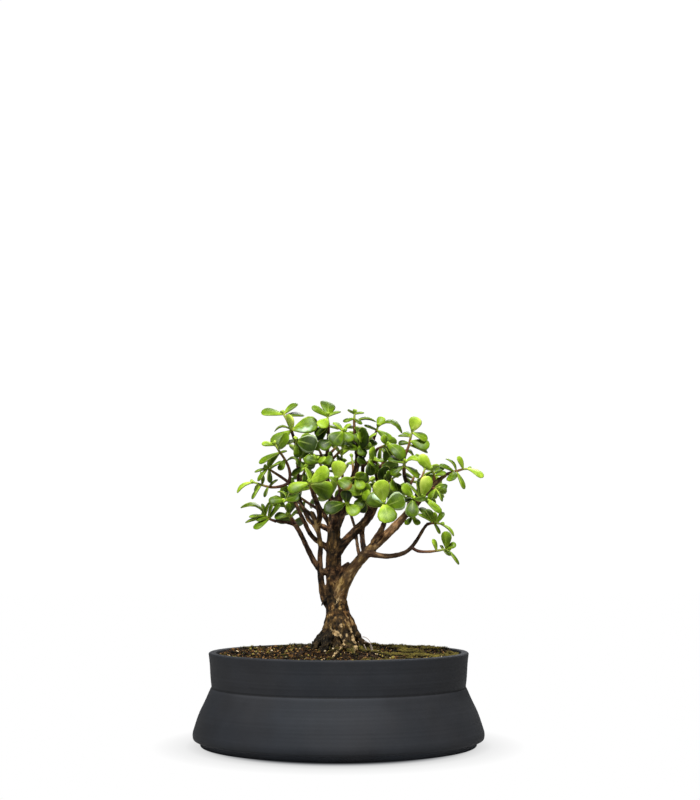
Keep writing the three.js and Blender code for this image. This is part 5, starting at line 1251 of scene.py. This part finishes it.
# Shoots whose leaves grow in pairs by one rule: the stem's rows, and the pairs' count, length, roll and the
# share of the stem that is bare
PAIRED_SHOOTS = {
    "crown_inner": ([(-8.6, 3, 193), (-4, -4, 196), (0, -9, 200), (3, -12, 203)], (4, 11, 60, 0.3)),
    "crown_right": ([(12.8, 4, 199), (14, -3, 204), (16, -9, 207.5)], (3, 11, 80, 0.4)),
    "centre_dark": ([(16.6, -1, 190), (20, -7, 193), (24, -12, 195)], (3, 12, 40, 0.35)),
    "centre_top": ([(17, -2, 199), (18, -5, 204), (19, -7, 208)], (3, 10, 20, 0.25)),
    "centre_front": ([(8.4, 5, 179.6), (9, -4, 182), (12, -13, 182.5)], (3, 11, 10, 0.4)),
    "centre_low": ([(26.5, 7, 167), (21, -4, 169), (16, -14, 171)], (3, 12, 70, 0.45)),
    "centre_right_front": ([(27.5, 8, 177), (34, 0, 180), (39, -8, 183)], (4, 12, 50, 0.4)),
    "right_inner": ([(48, -5, 175), (51, -2, 180), (53, 1, 185)], (3, 11, 70, 0.35)),
    "left_low_back": (
        [(-27.2, 9, 145.5), (-31, 20, 152), (-36, 30, 160), (-40, 36, 167)], (4, 13, 10, 0.35),
    ),
    "left_back": ([(-28.5, 13, 188), (-27, 22, 195), (-28, 29, 203)], (4, 13, 20, 0.3)),
    "back_top": ([(9, 42, 180), (10, 47, 188), (9, 50, 196)], (4, 13, 0, 0.15)),
    "back_low": ([(3, 26, 157), (-2, 36, 163), (-6, 46, 170)], (4, 13, 20, 0.3)),
    "back_side": ([(7, 36, 169), (15, 44, 174), (22, 50, 181)], (4, 13, 40, 0.3)),
    "back_right_top": ([(35, 35, 181), (38, 40, 189), (39, 42, 197)], (4, 13, 0, 0.15)),
    "back_right_low": ([(28, 29, 170), (34, 40, 172), (41, 48, 176)], (4, 13, 10, 0.3)),
    "back_left_top": ([(-18, 40, 173), (-21, 46, 182), (-22, 48, 190)], (4, 13, 30, 0.15)),
    "back_left_low": ([(-15, 34, 161), (-23, 42, 166), (-31, 47, 172)], (4, 13, 0, 0.3)),
    "right_back_top": ([(56, 22, 177), (58, 28, 183), (60, 32, 189)], (4, 13, 20, 0.15)),
    "right_back_low": ([(54, 12, 170), (61, 19, 172), (67, 25, 175)], (4, 12, 0, 0.3)),
    "back_thin_top": ([(5, 19, 170), (3, 22, 180), (2, 23, 190), (2, 22, 199)], (4, 12, 10, 0.25)),
    "top_back": ([(12.8, 4, 199), (14, 14, 205), (16, 22, 211)], (4, 12, 0, 0.3)),
    "middle_back": ([(26, 9, 187), (31, 18, 193), (35, 24, 201)], (4, 12, 20, 0.3)),
    "top_left_back": ([(-8.6, 3, 193), (-12, 13, 198), (-15, 21, 205)], (4, 13, 40, 0.25)),
    "crown_low": ([(-8.4, 2, 198), (-4.5, 7, 201), (-1, 12, 205)], (3, 11, 50, 0.35)),
    "top_left_front": ([(-8.3, 3, 184), (-12, -5, 190), (-14.5, -12, 195)], (4, 12, 10, 0.35)),
}
# Leaves of the pairs: how light they are at the foot of a shoot and how much lighter at its tip, and the
# part of their breadth that has filled out. The leaves of shoots in the shade of the others are painted
# darker, as painted shade.
PAIR_TONE = 0.3
PAIR_TIP_TONE = 0.36
PAIR_FILLED = 0.9
SHADED = {
    "crown_inner", "crown_right", "centre_dark", "centre_top", "centre_front", "centre_low",
    "centre_right_front", "right_inner", "left_low_back", "crown_low", "top_left_front", "middle_back",
}
PAINTED_SHADE_TONE = -0.12
# Small places between the leaves where the sky shows: right, height and radius
GAPS = [
    (-37, 202, 2.4), (-34.6, 199.4, 2), (-43.6, 195, 1.6), (-45.6, 191.8, 1.4), (-32, 190, 2.8),
    (-31, 187, 1.8), (-36.8, 184.6, 1.4), (-13.2, 210.5, 1.8), (-10.6, 210.2, 1.5), (-14, 200.6, 1.8),
    (-11, 201.8, 1.8), (-3, 202, 1.3), (-2.4, 199.4, 1), (3, 198, 1.5), (6.4, 198.4, 1.8),
    (9.2, 196.4, 1.5), (8.6, 189, 2), (8, 184.8, 1.6), (-5.4, 183.6, 1.8), (-13.5, 190.6, 1.2),
    (-22.3, 186, 1.2), (14, 188.6, 0.9), (19.6, 189.6, 1), (22.8, 184, 1.4), (28.6, 199.4, 1.4),
    (30, 206.2, 1.1), (18, 213.4, 1.6), (19.6, 211.2, 1.2), (32, 215, 2.5), (36, 215.4, 2.8),
    (39.2, 213, 1.8), (43, 205.8, 1.3), (30, 192, 1), (30, 184.4, 1.2), (37, 182, 1.2),
    (43.2, 181, 1.7), (43.2, 192.6, 1.1), (48, 190, 2), (53, 190, 3), (58, 187.4, 2.4),
    (55, 200.4, 0.9), (49, 213, 1.2), (77, 188.6, 1.5), (79.6, 191, 1.2), (-24, 168.2, 1.8),
    (-27.5, 195, 1.1), (-28.3, 211, 1.1), (-4, 216, 1.3), (5, 153.5, 1.5), (7, 149.5, 2.1),
    (13.5, 154.4, 1.3), (23, 152, 2), (24.6, 148, 1.9), (-11.6, 153.4, 1.5), (-24, 157, 1.3),
    (-30.4, 155.6, 1), (-41.6, 159, 1.2), (42.6, 155.4, 2), (36, 147.5, 1.8), (63.4, 155.2, 1.6),
    (56.6, 163, 0.9), (52.6, 182, 1.1), (44.6, 206.2, 1), (-16.6, 161.4, 1),
]
# A shoot: its radius at its foot and tip, the straight pieces that stand for it where leaves keep clear of
# it, and the steps, sides and old leaf scars of its stem
SHOOT_RADII = (1.15, 0.7)
SHOOT_PIECES = 6
SHOOT_STEP = 1.5
SHOOT_SIDES = 10
SHOOT_SCAR_SWELL = 0.12
SHOOT_SCAR_SPACING = 7
# Its lowest leaf stands this far beyond the place where the stem is this clear of the wood
FIRST_LEAF = 2
WOOD_GAP = 1.8
LONGEST_LEAF = 20.5
LEAF_THICKNESS = 1.9
PAIR_LEAF_BREADTH = 0.8
SEEN_LEAF_BREADTH = 1.08
SEEN_LEAF_LENGTH = 1.03
LEAF_RISE = 0.06
# The rise, painted reflection and red of a usual leaf
USUAL = (LEAF_RISE, 0, 0)
# The room that a leaf keeps to other leaves, to stems, to places where the sky shows and to the soil
LEAF_GAP = 0.7
STEM_GAP = 1.2
SKY_GAP = 0.6
LOWEST_LEAF = 68
# The share of its length that may touch its own shoot and its leaves, a limb, and any leaf's stalk, and
# how squarely it must face the eye to hide the sky
OWN_SHARE = 0.5
LIMB_SHARE = 0.25
SUNK_SHARE = 0.1
EDGE_ON = 0.15
# Spots on a leaf that must stay clear: share of its length, share of its half breadth
SPOTS = np.array([
    (0.2, 0), (0.35, -0.8), (0.35, 0.8), (0.45, 0), (0.6, -0.9), (0.6, 0.9), (0.6, -0.45), (0.6, 0.45),
    (0.72, 0), (0.82, -0.9), (0.82, 0.9), (0.9, 0), (1, 0),
])
MIDDLE_SPOT = 8
# Ways in which a leaf of a pair gives way: degrees that it opens, degrees that it turns, and its size
GIVE_WAY = [
    (0, 0, 1), (-16, 0, 1), (14, 0, 1), (0, 20, 1), (0, -20, 1), (-28, 12, 0.94), (-18, -25, 0.92),
    (18, 25, 0.9), (0, 40, 0.86), (-34, -35, 0.82), (-42, 0, 0.78), (10, -45, 0.72), (-50, 60, 0.7),
    (-60, -70, 0.66), (-20, 90, 0.7),
]
# Steps along the line of sight in which the tip of a seen leaf gives way
TIP_STEPS = [0, -4, 4, -8, 8, -12, 12, -16, 16]
# Degrees that the pairs open from the stem, from its tip down, what a draw may add to that, to their turn
# round the stem and to their twist, and their sizes
OPENINGS = [56, 66, 74, 74]
OPENING_DRAW = 7
TURN_DRAW = 12
TWIST_DRAW = 14
LENGTH_DRAW = (0.88, 1.06)
LAST_PAIR_SHARE = 0.97
FULL_SIZE_PAIRS = 3
LOW_PAIR_SIZE = 0.92
# Seeds of the draws for the pairs and for the form of the blades: the first shoot's, and what each of the
# next shoots adds to it
PAIR_SEEDS = (17, 31)
BLADE_SEEDS = (5, 13)
# Small leaves that grew late in the shade, in the room that is left: shoot, and a row as above up to the
# breadth. They are all alike painted dark, as painted shade, and filled out
LATE_LEAVES = [
    ("crown_top", 0.25, -15, 4, 209, 40, 0.8), ("heart", 0.3, -13.5, 5, 203.5, 30, 0.85),
    ("centre_top", 0.9, 24, -1, 209, 30, 0.8), ("centre_top", 0.6, 20.5, 3, 214.5, 40, 0.8),
    ("right_leaf_big", 0.95, 45, 0, 211.5, 70, 0.7), ("centre_right_front", 0.2, 30, -2, 189.5, 35, 0.8),
    ("centre_dark", 0.6, 22, -6, 184, 30, 0.8), ("front_left", 0.5, -25, -17, 177, 20, 0.8),
    ("centre_low", 0.8, 15, -5, 158.5, 20, 0.7), ("crown_right", 0.4, 20, -2, 214, 40, 0.7),
]
LATE_LOOK = (0.22, 1)
# How a blade is shaped: stations along it, points round it, the power of its rounded section, the half
# breadth of its stalk, and how far its edges may lift or droop and its halves fold up, as shares of
# half its breadth
BLADE_STATIONS = 8
BLADE_SIDES = 8
BLADE_POWER = 2.5
STALK_HALF = 0.6
CUP_DRAW = (-0.1, 0.1)
FOLD_DRAW = (0.0, 0.26)
# How much lighter one side, one end or the stalk of a leaf may be than the rest of it, as a share of the
# whole run of its colours, and how much darker its middle is. The side and the end are painted light and
# shade across the blade
SIDE_PAINTED_LIGHT = 0.15
END_PAINTED_LIGHT = 0.1
STALK_TONE = 0.2
MIDDLE_TONE = 0.08
LEAF_TONE_DRAW = (-0.04, 0.04)
# The two leaves of a bud: their length, how far they open in radians, and how light they are
BUD_LEAF = 3.6
BUD_OPENING = 0.35
BUD_TONE = 0.65


def unit(vector):
    """The vector over its length."""
    return vector / np.linalg.norm(vector)


def leaf_width(s):
    """Half the breadth of a leaf along its length, over its greatest: s^0.7 sqrt(1 - s^2.2) / 0.579."""
    held = np.clip(s, 0, 1)
    return held**0.7 * np.sqrt(1 - held**2.2) / 0.579


def on_leaf(leaf, s, across):
    """Points of a leaf's middle face: root + s length axis + half width(s) across side + its rise, which
    is rise length 4 s (1 - s) along the face's normal."""
    forward = (s * leaf["length"])[..., None] * leaf["axis"]
    sideways = (leaf["half"] * leaf_width(s) * across)[..., None] * leaf["side"]
    risen = (leaf["rise"] * leaf["length"] * 4 * s * (1 - s))[..., None] * leaf["face"]
    return leaf["root"] + forward + sideways + risen


def seen_leaf(points, first, row, step):
    """A leaf set where it is seen: from its share of the shoot to its tip, which is moved by a step along
    the line of sight, and turned about its length by a number of degrees from facing the eye."""
    row = (*row, *USUAL[len(row) - 8:])
    share, right, depth, height, turn, breadth, light, filled, rise, painted_glint, red = row
    root = along(points, max(share, first))[0]
    axis = seen([(right, depth + step, height)])[0] - root
    length = np.linalg.norm(axis)
    axis = axis / length
    facing = unit(np.array([0, -1, 0]) + axis[1] * axis)
    upward = np.cross(axis, facing)
    upward = -upward if upward[2] < 0 else upward
    face = facing * math.cos(math.radians(turn)) + upward * math.sin(math.radians(turn))
    half = length * breadth * SEEN_LEAF_BREADTH / 2
    return {
        "root": root, "axis": axis, "side": np.cross(face, axis), "face": face,
        "length": length * SEEN_LEAF_LENGTH, "half": half, "rise": rise,
        "look": (light, filled, painted_glint, red),
    }


def pair_leaf(root, ahead, opening, around, twist, length, tone):
    """A leaf of a pair: opened from the stem by one angle, turned round it by another, and twisted."""
    start = np.array([0.0, 0, 1]) if abs(ahead[2]) < 0.8 else np.array([1.0, 0, 0])
    first = unit(start - ahead * (start @ ahead))
    outward = first * math.cos(around) + np.cross(ahead, first) * math.sin(around)
    axis = ahead * math.cos(opening) + outward * math.sin(opening)
    flat = ahead * math.sin(opening) - outward * math.cos(opening)
    level = np.cross(flat, axis)
    return {
        "root": root, "axis": axis, "side": level * math.cos(twist) - flat * math.sin(twist),
        "face": flat * math.cos(twist) + level * math.sin(twist),
        "length": length, "half": length * PAIR_LEAF_BREADTH / 2, "rise": LEAF_RISE,
        "look": (tone, PAIR_FILLED, 0, 0),
    }


def to_stems(points):
    """The distance of each point from the skin of each straight piece of limb or shoot."""
    line = piece_end - piece_start
    away = points[:, None] - piece_start
    share = np.clip((away * line).sum(-1) / (line**2).sum(-1), 0, 1)
    return np.linalg.norm(away - share[..., None] * line, axis=-1) - piece_radius


def touches(points, leaf):
    """Whether points lie in a leaf or closer to it than the gap."""
    away = points - leaf["root"]
    s = (away * leaf["axis"]).sum(-1) / leaf["length"]
    sideways = np.abs((away * leaf["side"]).sum(-1))
    lift = (away * leaf["face"]).sum(-1) - leaf["rise"] * leaf["length"] * 4 * s * (1 - s)
    is_along = (s >= SUNK_SHARE) & (s <= 1 + LEAF_GAP / leaf["length"])
    is_across = sideways <= leaf["half"] * leaf_width(s) + LEAF_GAP
    return is_along & is_across & (np.abs(lift) < LEAF_THICKNESS / 2 + LEAF_GAP)


def hides_sky(leaf, spots):
    """Whether a leaf would close one of the places where the sky shows, unless it is seen edge on."""
    flat = from_front(spots)
    for right, height, radius in GAPS:
        if (np.linalg.norm(flat - (right, height), axis=1) < radius + SKY_GAP).any():
            return True
        if abs(leaf["face"][1]) <= EDGE_ON:
            continue
        sky = seen([(right, spots[MIDDLE_SPOT, 1], height)])[0]
        sky[1] += (leaf["root"] - sky) @ leaf["face"] / leaf["face"][1]
        away = sky - leaf["root"]
        s = away @ leaf["axis"] / leaf["length"]
        if 0 < s < 1 and abs(away @ leaf["side"]) < leaf["half"] * leaf_width(s):
            return True
    return False


def is_clear(leaf, is_seen):
    """Whether a leaf is clear of the soil, the sky gaps, the stems and every leaf so far."""
    spots = leaf["spots"]
    if (spots[:, 2] < LOWEST_LEAF).any() or (not is_seen and hides_sky(leaf, spots)):
        return False
    is_near_root = SPOTS[:, :1] < np.where(piece_owner < 0, LIMB_SHARE, OWN_SHARE)
    is_own = (piece_owner < 0) | (piece_owner == leaf["owner"])
    if ((to_stems(spots) < STEM_GAP) & ~(is_near_root & is_own)).any():
        return False
    if not leaves:
        return True
    is_free = (set_leaves["owner"] == leaf["owner"]) & ((SPOTS[:, 0] < OWN_SHARE) | is_seen)
    is_free[:, 0] = True
    return not ((touches(spots, set_leaves) | touches(set_leaves["spots"], leaf)) & ~is_free).any()


def set_if_clear(leaf, owner, is_seen):
    """Sets a leaf on its shoot if there is room for it, and says whether it did."""
    leaf = {**leaf, "owner": owner, "spots": on_leaf(leaf, SPOTS[:, 0], SPOTS[:, 1])}
    if not is_clear(leaf, is_seen):
        return False
    leaves.append(leaf)
    for key in ("root", "axis", "side", "face", "length", "half", "rise", "owner"):
        set_leaves[key] = np.array([other[key] for other in leaves])[:, None]
    set_leaves["spots"] = np.array([other["spots"] for other in leaves])
    return True


def set_seen(name, row):
    """Sets a leaf that is seen, at the first of the steps along the line of sight where it has room."""
    owner = owners[name]
    for step in TIP_STEPS:
        leaf = seen_leaf(stems[name], first_shares[owner], row, step)
        if leaf["length"] <= LONGEST_LEAF and set_if_clear(leaf, owner, True):
            return


def draw_from(seed):
    """A seeded draw between two values: state = (1664525 state + 1013904223) mod 2^32."""
    state = seed

    def draw(low, high):
        nonlocal state
        state = (state * 1664525 + 1013904223) % 4294967296
        return low + (high - low) * state / 4294967296

    return draw


def blade(leaf, cup, fold):
    """A closed leaf: on every station a rounded section |x|^n + |z|^n = 1, as thick as LEAF_THICKNESS
    sqrt(1 - |2s - 1|^3) and as wide as s^0.9 (1 - s^2.4)^0.5 / 0.550 makes it, which is a little
    narrower at the stalk than the room it keeps. Its edges are lifted by cup x^2, its halves by fold
    sqrt(x^2 + 0.02)."""
    s = (1 - np.cos(np.linspace(0, math.pi, BLADE_STATIONS + 1)[:-1])) / 2
    s, a = np.meshgrid(s, np.linspace(0, 2 * math.pi, BLADE_SIDES, endpoint=False), indexing="ij")
    x = np.sign(np.cos(a)) * np.abs(np.cos(a)) ** (2 / BLADE_POWER)
    z = np.sign(np.sin(a)) * np.abs(np.sin(a)) ** (2 / BLADE_POWER)
    stalk = STALK_HALF * (1 - s) ** 5
    wide = leaf["look"][1] * leaf["half"] * s**0.9 * (1 - s**2.4) ** 0.5 / 0.550
    half = np.hypot(wide, stalk)
    thick = np.hypot(LEAF_THICKNESS / 2 * np.sqrt(np.clip(1 - np.abs(2 * s - 1) ** 3, 0, 1)), stalk)
    edge = half * x / leaf["half"]
    lifted = cup * (edge**2 - 0.3) + fold * (np.sqrt(edge**2 + 0.02) - 0.5)
    lift = thick * z + leaf["half"] * lifted * np.sin(math.pi * s)
    points = on_leaf(leaf, s, 0 * s) + (half * x)[..., None] * leaf["side"] + lift[..., None] * leaf["face"]
    ends = on_leaf(leaf, np.array([0.0, 1.0]), np.zeros(2))
    points = np.concatenate([points.reshape(-1, 3), ends])
    values = np.stack([s, x, z], -1).reshape(-1, 3)
    values = np.concatenate([values, [[0, 0, 0], [1, 0, 0]]])
    return points, capped(BLADE_STATIONS, BLADE_SIDES), values


def shading(values, draw):
    """How much lighter or darker a leaf is at each point: painted light and shade, side d1 x + end
    d2 (2 s - 1), with drawn d1 and d2 from -1 to 1, + stalk (1 - s)^3 - middle (1 - x^2) sin(pi s)^2."""
    s, x = values[:, 0], values[:, 1]
    uneven = SIDE_PAINTED_LIGHT * draw(-1, 1) * x + END_PAINTED_LIGHT * draw(-1, 1) * (2 * s - 1)
    return uneven + STALK_TONE * (1 - s) ** 3 - MIDDLE_TONE * ((1 - x**2) * np.sin(math.pi * s) ** 2 - 0.35)


# Jade leaf: a waxy green skin over water-filled flesh that light goes into, brighter in the young leaves
# at the tips, with a paler rim, a faint midrib, a yellow stalk and an olive underside, and on some leaves a
# painted reflection of the sky
LEAF_VALUES = ("lengthways", "sideways", "upper", "tone", "blush", "painted_sky_glint", "painted_edge_glint")
SKIN_CELL = 0.35
jade_leaf, tree, place = new_material("waxy_succulent_jade_leaf")
lengthways, sideways, upper, tone, blush, painted_sky_glint, painted_edge_glint = (
    add(tree, "Attribute", attribute_name=name).outputs["Fac"] for name in LEAF_VALUES
)
mottle = add(tree, "TexNoise", {"Vector": place, "Scale": 1 / (3.5 * MM), "Detail": 4})
cells = add(tree, "TexNoise", {"Vector": place, "Scale": 1 / (SKIN_CELL * MM), "Detail": 2})
uneven = add(tree, "MapRange", {
    "Value": mottle, "From Min": 0.25, "From Max": 0.75, "To Min": -0.1, "To Max": 0.1,
})
toned = add(tree, "Math", {0: tone, 1: uneven}, operation="ADD")
# Side veins leave the midrib every eighth of the blade and slant towards its tip
wide = add(tree, "Math", {0: sideways}, operation="ABSOLUTE")
slant = add(tree, "Math", {0: wide, 1: -0.45, 2: lengthways}, operation="MULTIPLY_ADD")
between = add(tree, "Math", {0: slant, 1: 1 / 16}, operation="PINGPONG")
vein = add(tree, "MapRange", {"Value": between, "From Min": 0.02, "From Max": 0, "To Max": 0.08})
level = add(tree, "Math", {0: toned, 1: vein}, operation="ADD")
green = add(tree, "ValToRGB", {0: level}, stops=[
    (0, 0x101A00), (0.25, 0x2A3E02), (0.5, 0x5D7A08), (0.75, 0x9CBA2E), (1, 0xDEEA72),
])
tipward = add(tree, "Math", {0: lengthways, 1: 7}, operation="POWER")
outmost = add(tree, "Math", {0: wide, 1: tipward}, operation="MAXIMUM")
# Some leaves have a wider, paler rim, which is a painted reflection of the sky
rim_from = add(tree, "Math", {0: painted_edge_glint, 1: -0.2, 2: 0.88}, operation="MULTIPLY_ADD")
rim = add(tree, "MapRange", {"Value": outmost, "From Min": rim_from, "From Max": 1, "To Max": 0.75})
rim_and_glint_colour = add(tree, "Mix", {
    "Factor": painted_edge_glint, "A": linear(0xB4C05A), "B": linear(0xD6EBC4),
}, data_type="RGBA")
rimmed = add(tree, "Mix", {"Factor": rim, "A": green, "B": rim_and_glint_colour}, data_type="RGBA")
midrib = add(tree, "MapRange", {"Value": wide, "From Min": 0.12, "From Max": 0.02, "To Max": 0.34})
to_tip = add(tree, "MapRange", {"Value": lengthways, "From Min": 0.85, "From Max": 0.3})
line = add(tree, "Math", {0: midrib, 1: to_tip}, operation="MULTIPLY")
ribbed = add(tree, "Mix", {"Factor": line, "A": rimmed, "B": linear(0xC2D46A)}, data_type="RGBA")
stalk = add(tree, "MapRange", {"Value": lengthways, "From Min": 0.16, "From Max": 0.01, "To Max": 0.7})
stalked = add(tree, "Mix", {"Factor": stalk, "A": ribbed, "B": linear(0xA8A544)}, data_type="RGBA")
below = add(tree, "MapRange", {"Value": upper, "From Min": 0.1, "From Max": -0.5, "To Max": 0.4})
turned_under = add(tree, "Mix", {
    "Factor": below, "A": stalked, "B": linear(0x6E8A32),
}, data_type="RGBA")
at_tip = add(tree, "MapRange", {"Value": lengthways, "From Min": 0.74, "From Max": 0.96})
reddened = add(tree, "Math", {0: blush, 1: at_tip}, operation="MULTIPLY")
red = add(tree, "Mix", {"Factor": reddened, "A": turned_under, "B": linear(0x8A4A22)}, data_type="RGBA")
# Some leaves have a painted reflection of the sky, a pale spot on one side of the blade
on_blade = add(tree, "CombineXYZ", {"X": sideways, "Y": lengthways})
on_spot = add(tree, "Mapping", {"Vector": on_blade, "Location": (1.1, -1.5, 0), "Scale": (2.2, 3, 1)})
from_spot = add(tree, "VectorMath", {0: on_spot}, operation="LENGTH")
spot_edge = add(tree, "Math", {0: mottle, 1: 1.6, 2: from_spot}, operation="MULTIPLY_ADD")
spot = add(tree, "MapRange", {"Value": spot_edge, "From Min": 1.8, "From Max": 1})
sky = add(tree, "Math", {0: spot, 1: painted_sky_glint}, operation="MULTIPLY")
colour = add(tree, "Mix", {"Factor": sky, "A": red, "B": linear(0xD6F0CC)}, data_type="RGBA")
bump = add(tree, "Bump", {"Height": cells, "Strength": 0.25, "Distance": 0.06 * MM})
waxy = add(tree, "BsdfPrincipled", {
    "Base Color": colour, "Roughness": 0.46, "Normal": bump,
    "Specular IOR Level": 0.24, "Subsurface Weight": 0.1, "Subsurface Scale": 1.2 * MM,
    "Subsurface Radius": (0.9, 1, 0.25),
})
add(tree, "OutputMaterial", {"Surface": waxy})

# Young bark: thin and smooth, reddish brown at the foot of a shoot and green where it still grows
young_bark, tree, place = new_material("young_jade_shoot_bark")
lengthways = add(tree, "Attribute", attribute_name="lengthways").outputs["Fac"]
grain = add(tree, "TexNoise", {"Vector": place, "Scale": 1 / (1.1 * MM), "Detail": 4})
level = add(tree, "Math", {0: grain, 1: 0.3, 2: lengthways}, operation="MULTIPLY_ADD")
ripening = add(tree, "ValToRGB", {0: level}, stops=[
    (0.15, 0x2A1810), (0.5, 0x5A3521), (0.85, 0x7A5A2C), (1.1, 0x8A9A3C),
])
bump = add(tree, "Bump", {"Height": grain, "Strength": 0.5, "Distance": 0.15 * MM})
twig = add(tree, "BsdfPrincipled", {
    "Base Color": ripening, "Roughness": 0.7, "Normal": bump, "Specular IOR Level": 0.3,
})
add(tree, "OutputMaterial", {"Surface": twig})

# Straight pieces of every limb and shoot, which leaves stay clear of
stems = {name: seen(rows) for name, (rows, _) in {**SEEN_SHOOTS, **PAIRED_SHOOTS}.items()}
owners = {name: owner for owner, name in enumerate(stems)}
runs = []
for rows in LIMBS.values():
    middles = seen(rows)
    thick = [max(here[3], there[3]) for here, there in zip(rows, rows[1:])]
    runs.append((middles[:-1], middles[1:], thick, [-1] * len(thick)))
wood_pieces = sum(len(run[2]) for run in runs)
for owner, points in enumerate(stems.values()):
    middles = along(points, np.arange(SHOOT_PIECES + 1) / SHOOT_PIECES)
    thick = [sum(SHOOT_RADII) / 2] * SHOOT_PIECES
    runs.append((middles[:-1], middles[1:], thick, [owner] * SHOOT_PIECES))
piece_start, piece_end, piece_radius, piece_owner = map(np.concatenate, zip(*runs))

# Where the leaves of each shoot may begin: a little beyond the place where its stem is clear of the wood,
# which is in its first half
START_STEPS = 60
first_shares = []
for points in stems.values():
    shares = np.arange(1, START_STEPS // 2 + 1) / START_STEPS
    is_out = (to_stems(along(points, shares))[:, :wood_pieces] >= WOOD_GAP).all(1)
    wood_end = shares[is_out.argmax()] if is_out.any() else 0.5
    first_shares.append(wood_end + FIRST_LEAF / length_of(points))

# The leaves that are seen are set first, and the pairs then grow in the room that is left
leaves, set_leaves = [], {}
for name, (_, rows) in SEEN_SHOOTS.items():
    for row in rows:
        set_seen(name, row)

# Pairs of leaves open wider and grow a little smaller down the shoot, each with a small seeded draw
for name, (_, (count, length, roll, bare)) in PAIRED_SHOOTS.items():
    owner = owners[name]
    draw = draw_from(PAIR_SEEDS[0] + PAIR_SEEDS[1] * owner)
    for from_tip in range(count):
        down = from_tip / (count - 1)
        share = LAST_PAIR_SHARE * (1 - down) + max(bare, first_shares[owner]) * down
        root, ahead = along(stems[name], share)[0], heading(stems[name], np.array([share]))[0]
        tone = PAIR_TONE + PAIR_TIP_TONE * share**2 + (PAINTED_SHADE_TONE if name in SHADED else 0)
        turn = roll + 90 * from_tip + draw(-TURN_DRAW, TURN_DRAW)
        for half_turn in (0, 180):
            size = length * draw(*LENGTH_DRAW) * (1 if from_tip < FULL_SIZE_PAIRS else LOW_PAIR_SIZE)
            opening = OPENINGS[from_tip] + draw(-OPENING_DRAW, OPENING_DRAW)
            twist = math.radians(draw(-TWIST_DRAW, TWIST_DRAW))
            for opened, turned, smaller in GIVE_WAY:
                open_by, around = math.radians(opening + opened), math.radians(turn + half_turn + turned)
                leaf = pair_leaf(root, ahead, open_by, around, twist, size * smaller, tone)
                if set_if_clear(leaf, owner, False):
                    break

for name, *row in LATE_LEAVES:
    set_seen(name, (*row, *LATE_LOOK))

# Each shoot is its stem, with a ring at every old leaf scar, its leaves, and a bud of two at its tip
for owner, (name, points) in enumerate(stems.items()):
    draw = draw_from(BLADE_SEEDS[0] + BLADE_SEEDS[1] * owner)
    length = length_of(points)
    shares = np.linspace(0, 1, max(6, round(length / SHOOT_STEP)))
    scars = SHOOT_SCAR_SWELL * np.cos(math.pi * shares * length / SHOOT_SCAR_SPACING) ** 8
    r = np.interp(shares, [0, 1], SHOOT_RADII) * (1 + scars)
    stem_points, stem_faces = tube(points, shares, np.repeat(r[:, None], SHOOT_SIDES, 1))
    up_the_stem = np.append(np.repeat(shares, SHOOT_SIDES), [0, 1])
    shapes = [(stem_points, stem_faces)]
    values = [np.stack([up_the_stem] + [0 * up_the_stem] * (len(LEAF_VALUES) - 1), 1)]
    own = [leaf for leaf in leaves if leaf["owner"] == owner]
    tip, ahead = along(points, 1)[0], heading(points, np.array([1.0]))[0]
    around = draw(0, math.pi)
    buds = [
        pair_leaf(tip, ahead, BUD_OPENING, around + turn, 0, BUD_LEAF, BUD_TONE) for turn in (0, math.pi)
    ]
    for leaf in own + buds:
        leaf_points, leaf_faces, leaf_values = blade(leaf, draw(*CUP_DRAW), draw(*FOLD_DRAW))
        shapes.append((leaf_points, leaf_faces))
        light, _, painted_glint, red = leaf["look"]
        tones = light + draw(*LEAF_TONE_DRAW) + shading(leaf_values, draw)
        own_values = [tones, 0 * tones + red, 0 * tones + max(painted_glint, 0), 0 * tones + max(-painted_glint, 0)]
        values.append(np.concatenate([leaf_values, np.stack(own_values, 1)], 1))
    points, faces = together(shapes)
    leafy = surface("leafy_" + name, points, faces, young_bark, jade_leaf)
    is_leaf = np.concatenate([part[:, 0] >= len(stem_points) for part in faces])
    leafy.data.polygons.foreach_set("material_index", is_leaf.astype(np.int32))
    values = np.concatenate(values)
    for label, column in zip(LEAF_VALUES, values.T):
        attribute(leafy, label, column)
    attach(leafy, "root")
    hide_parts("shoot_" + name)
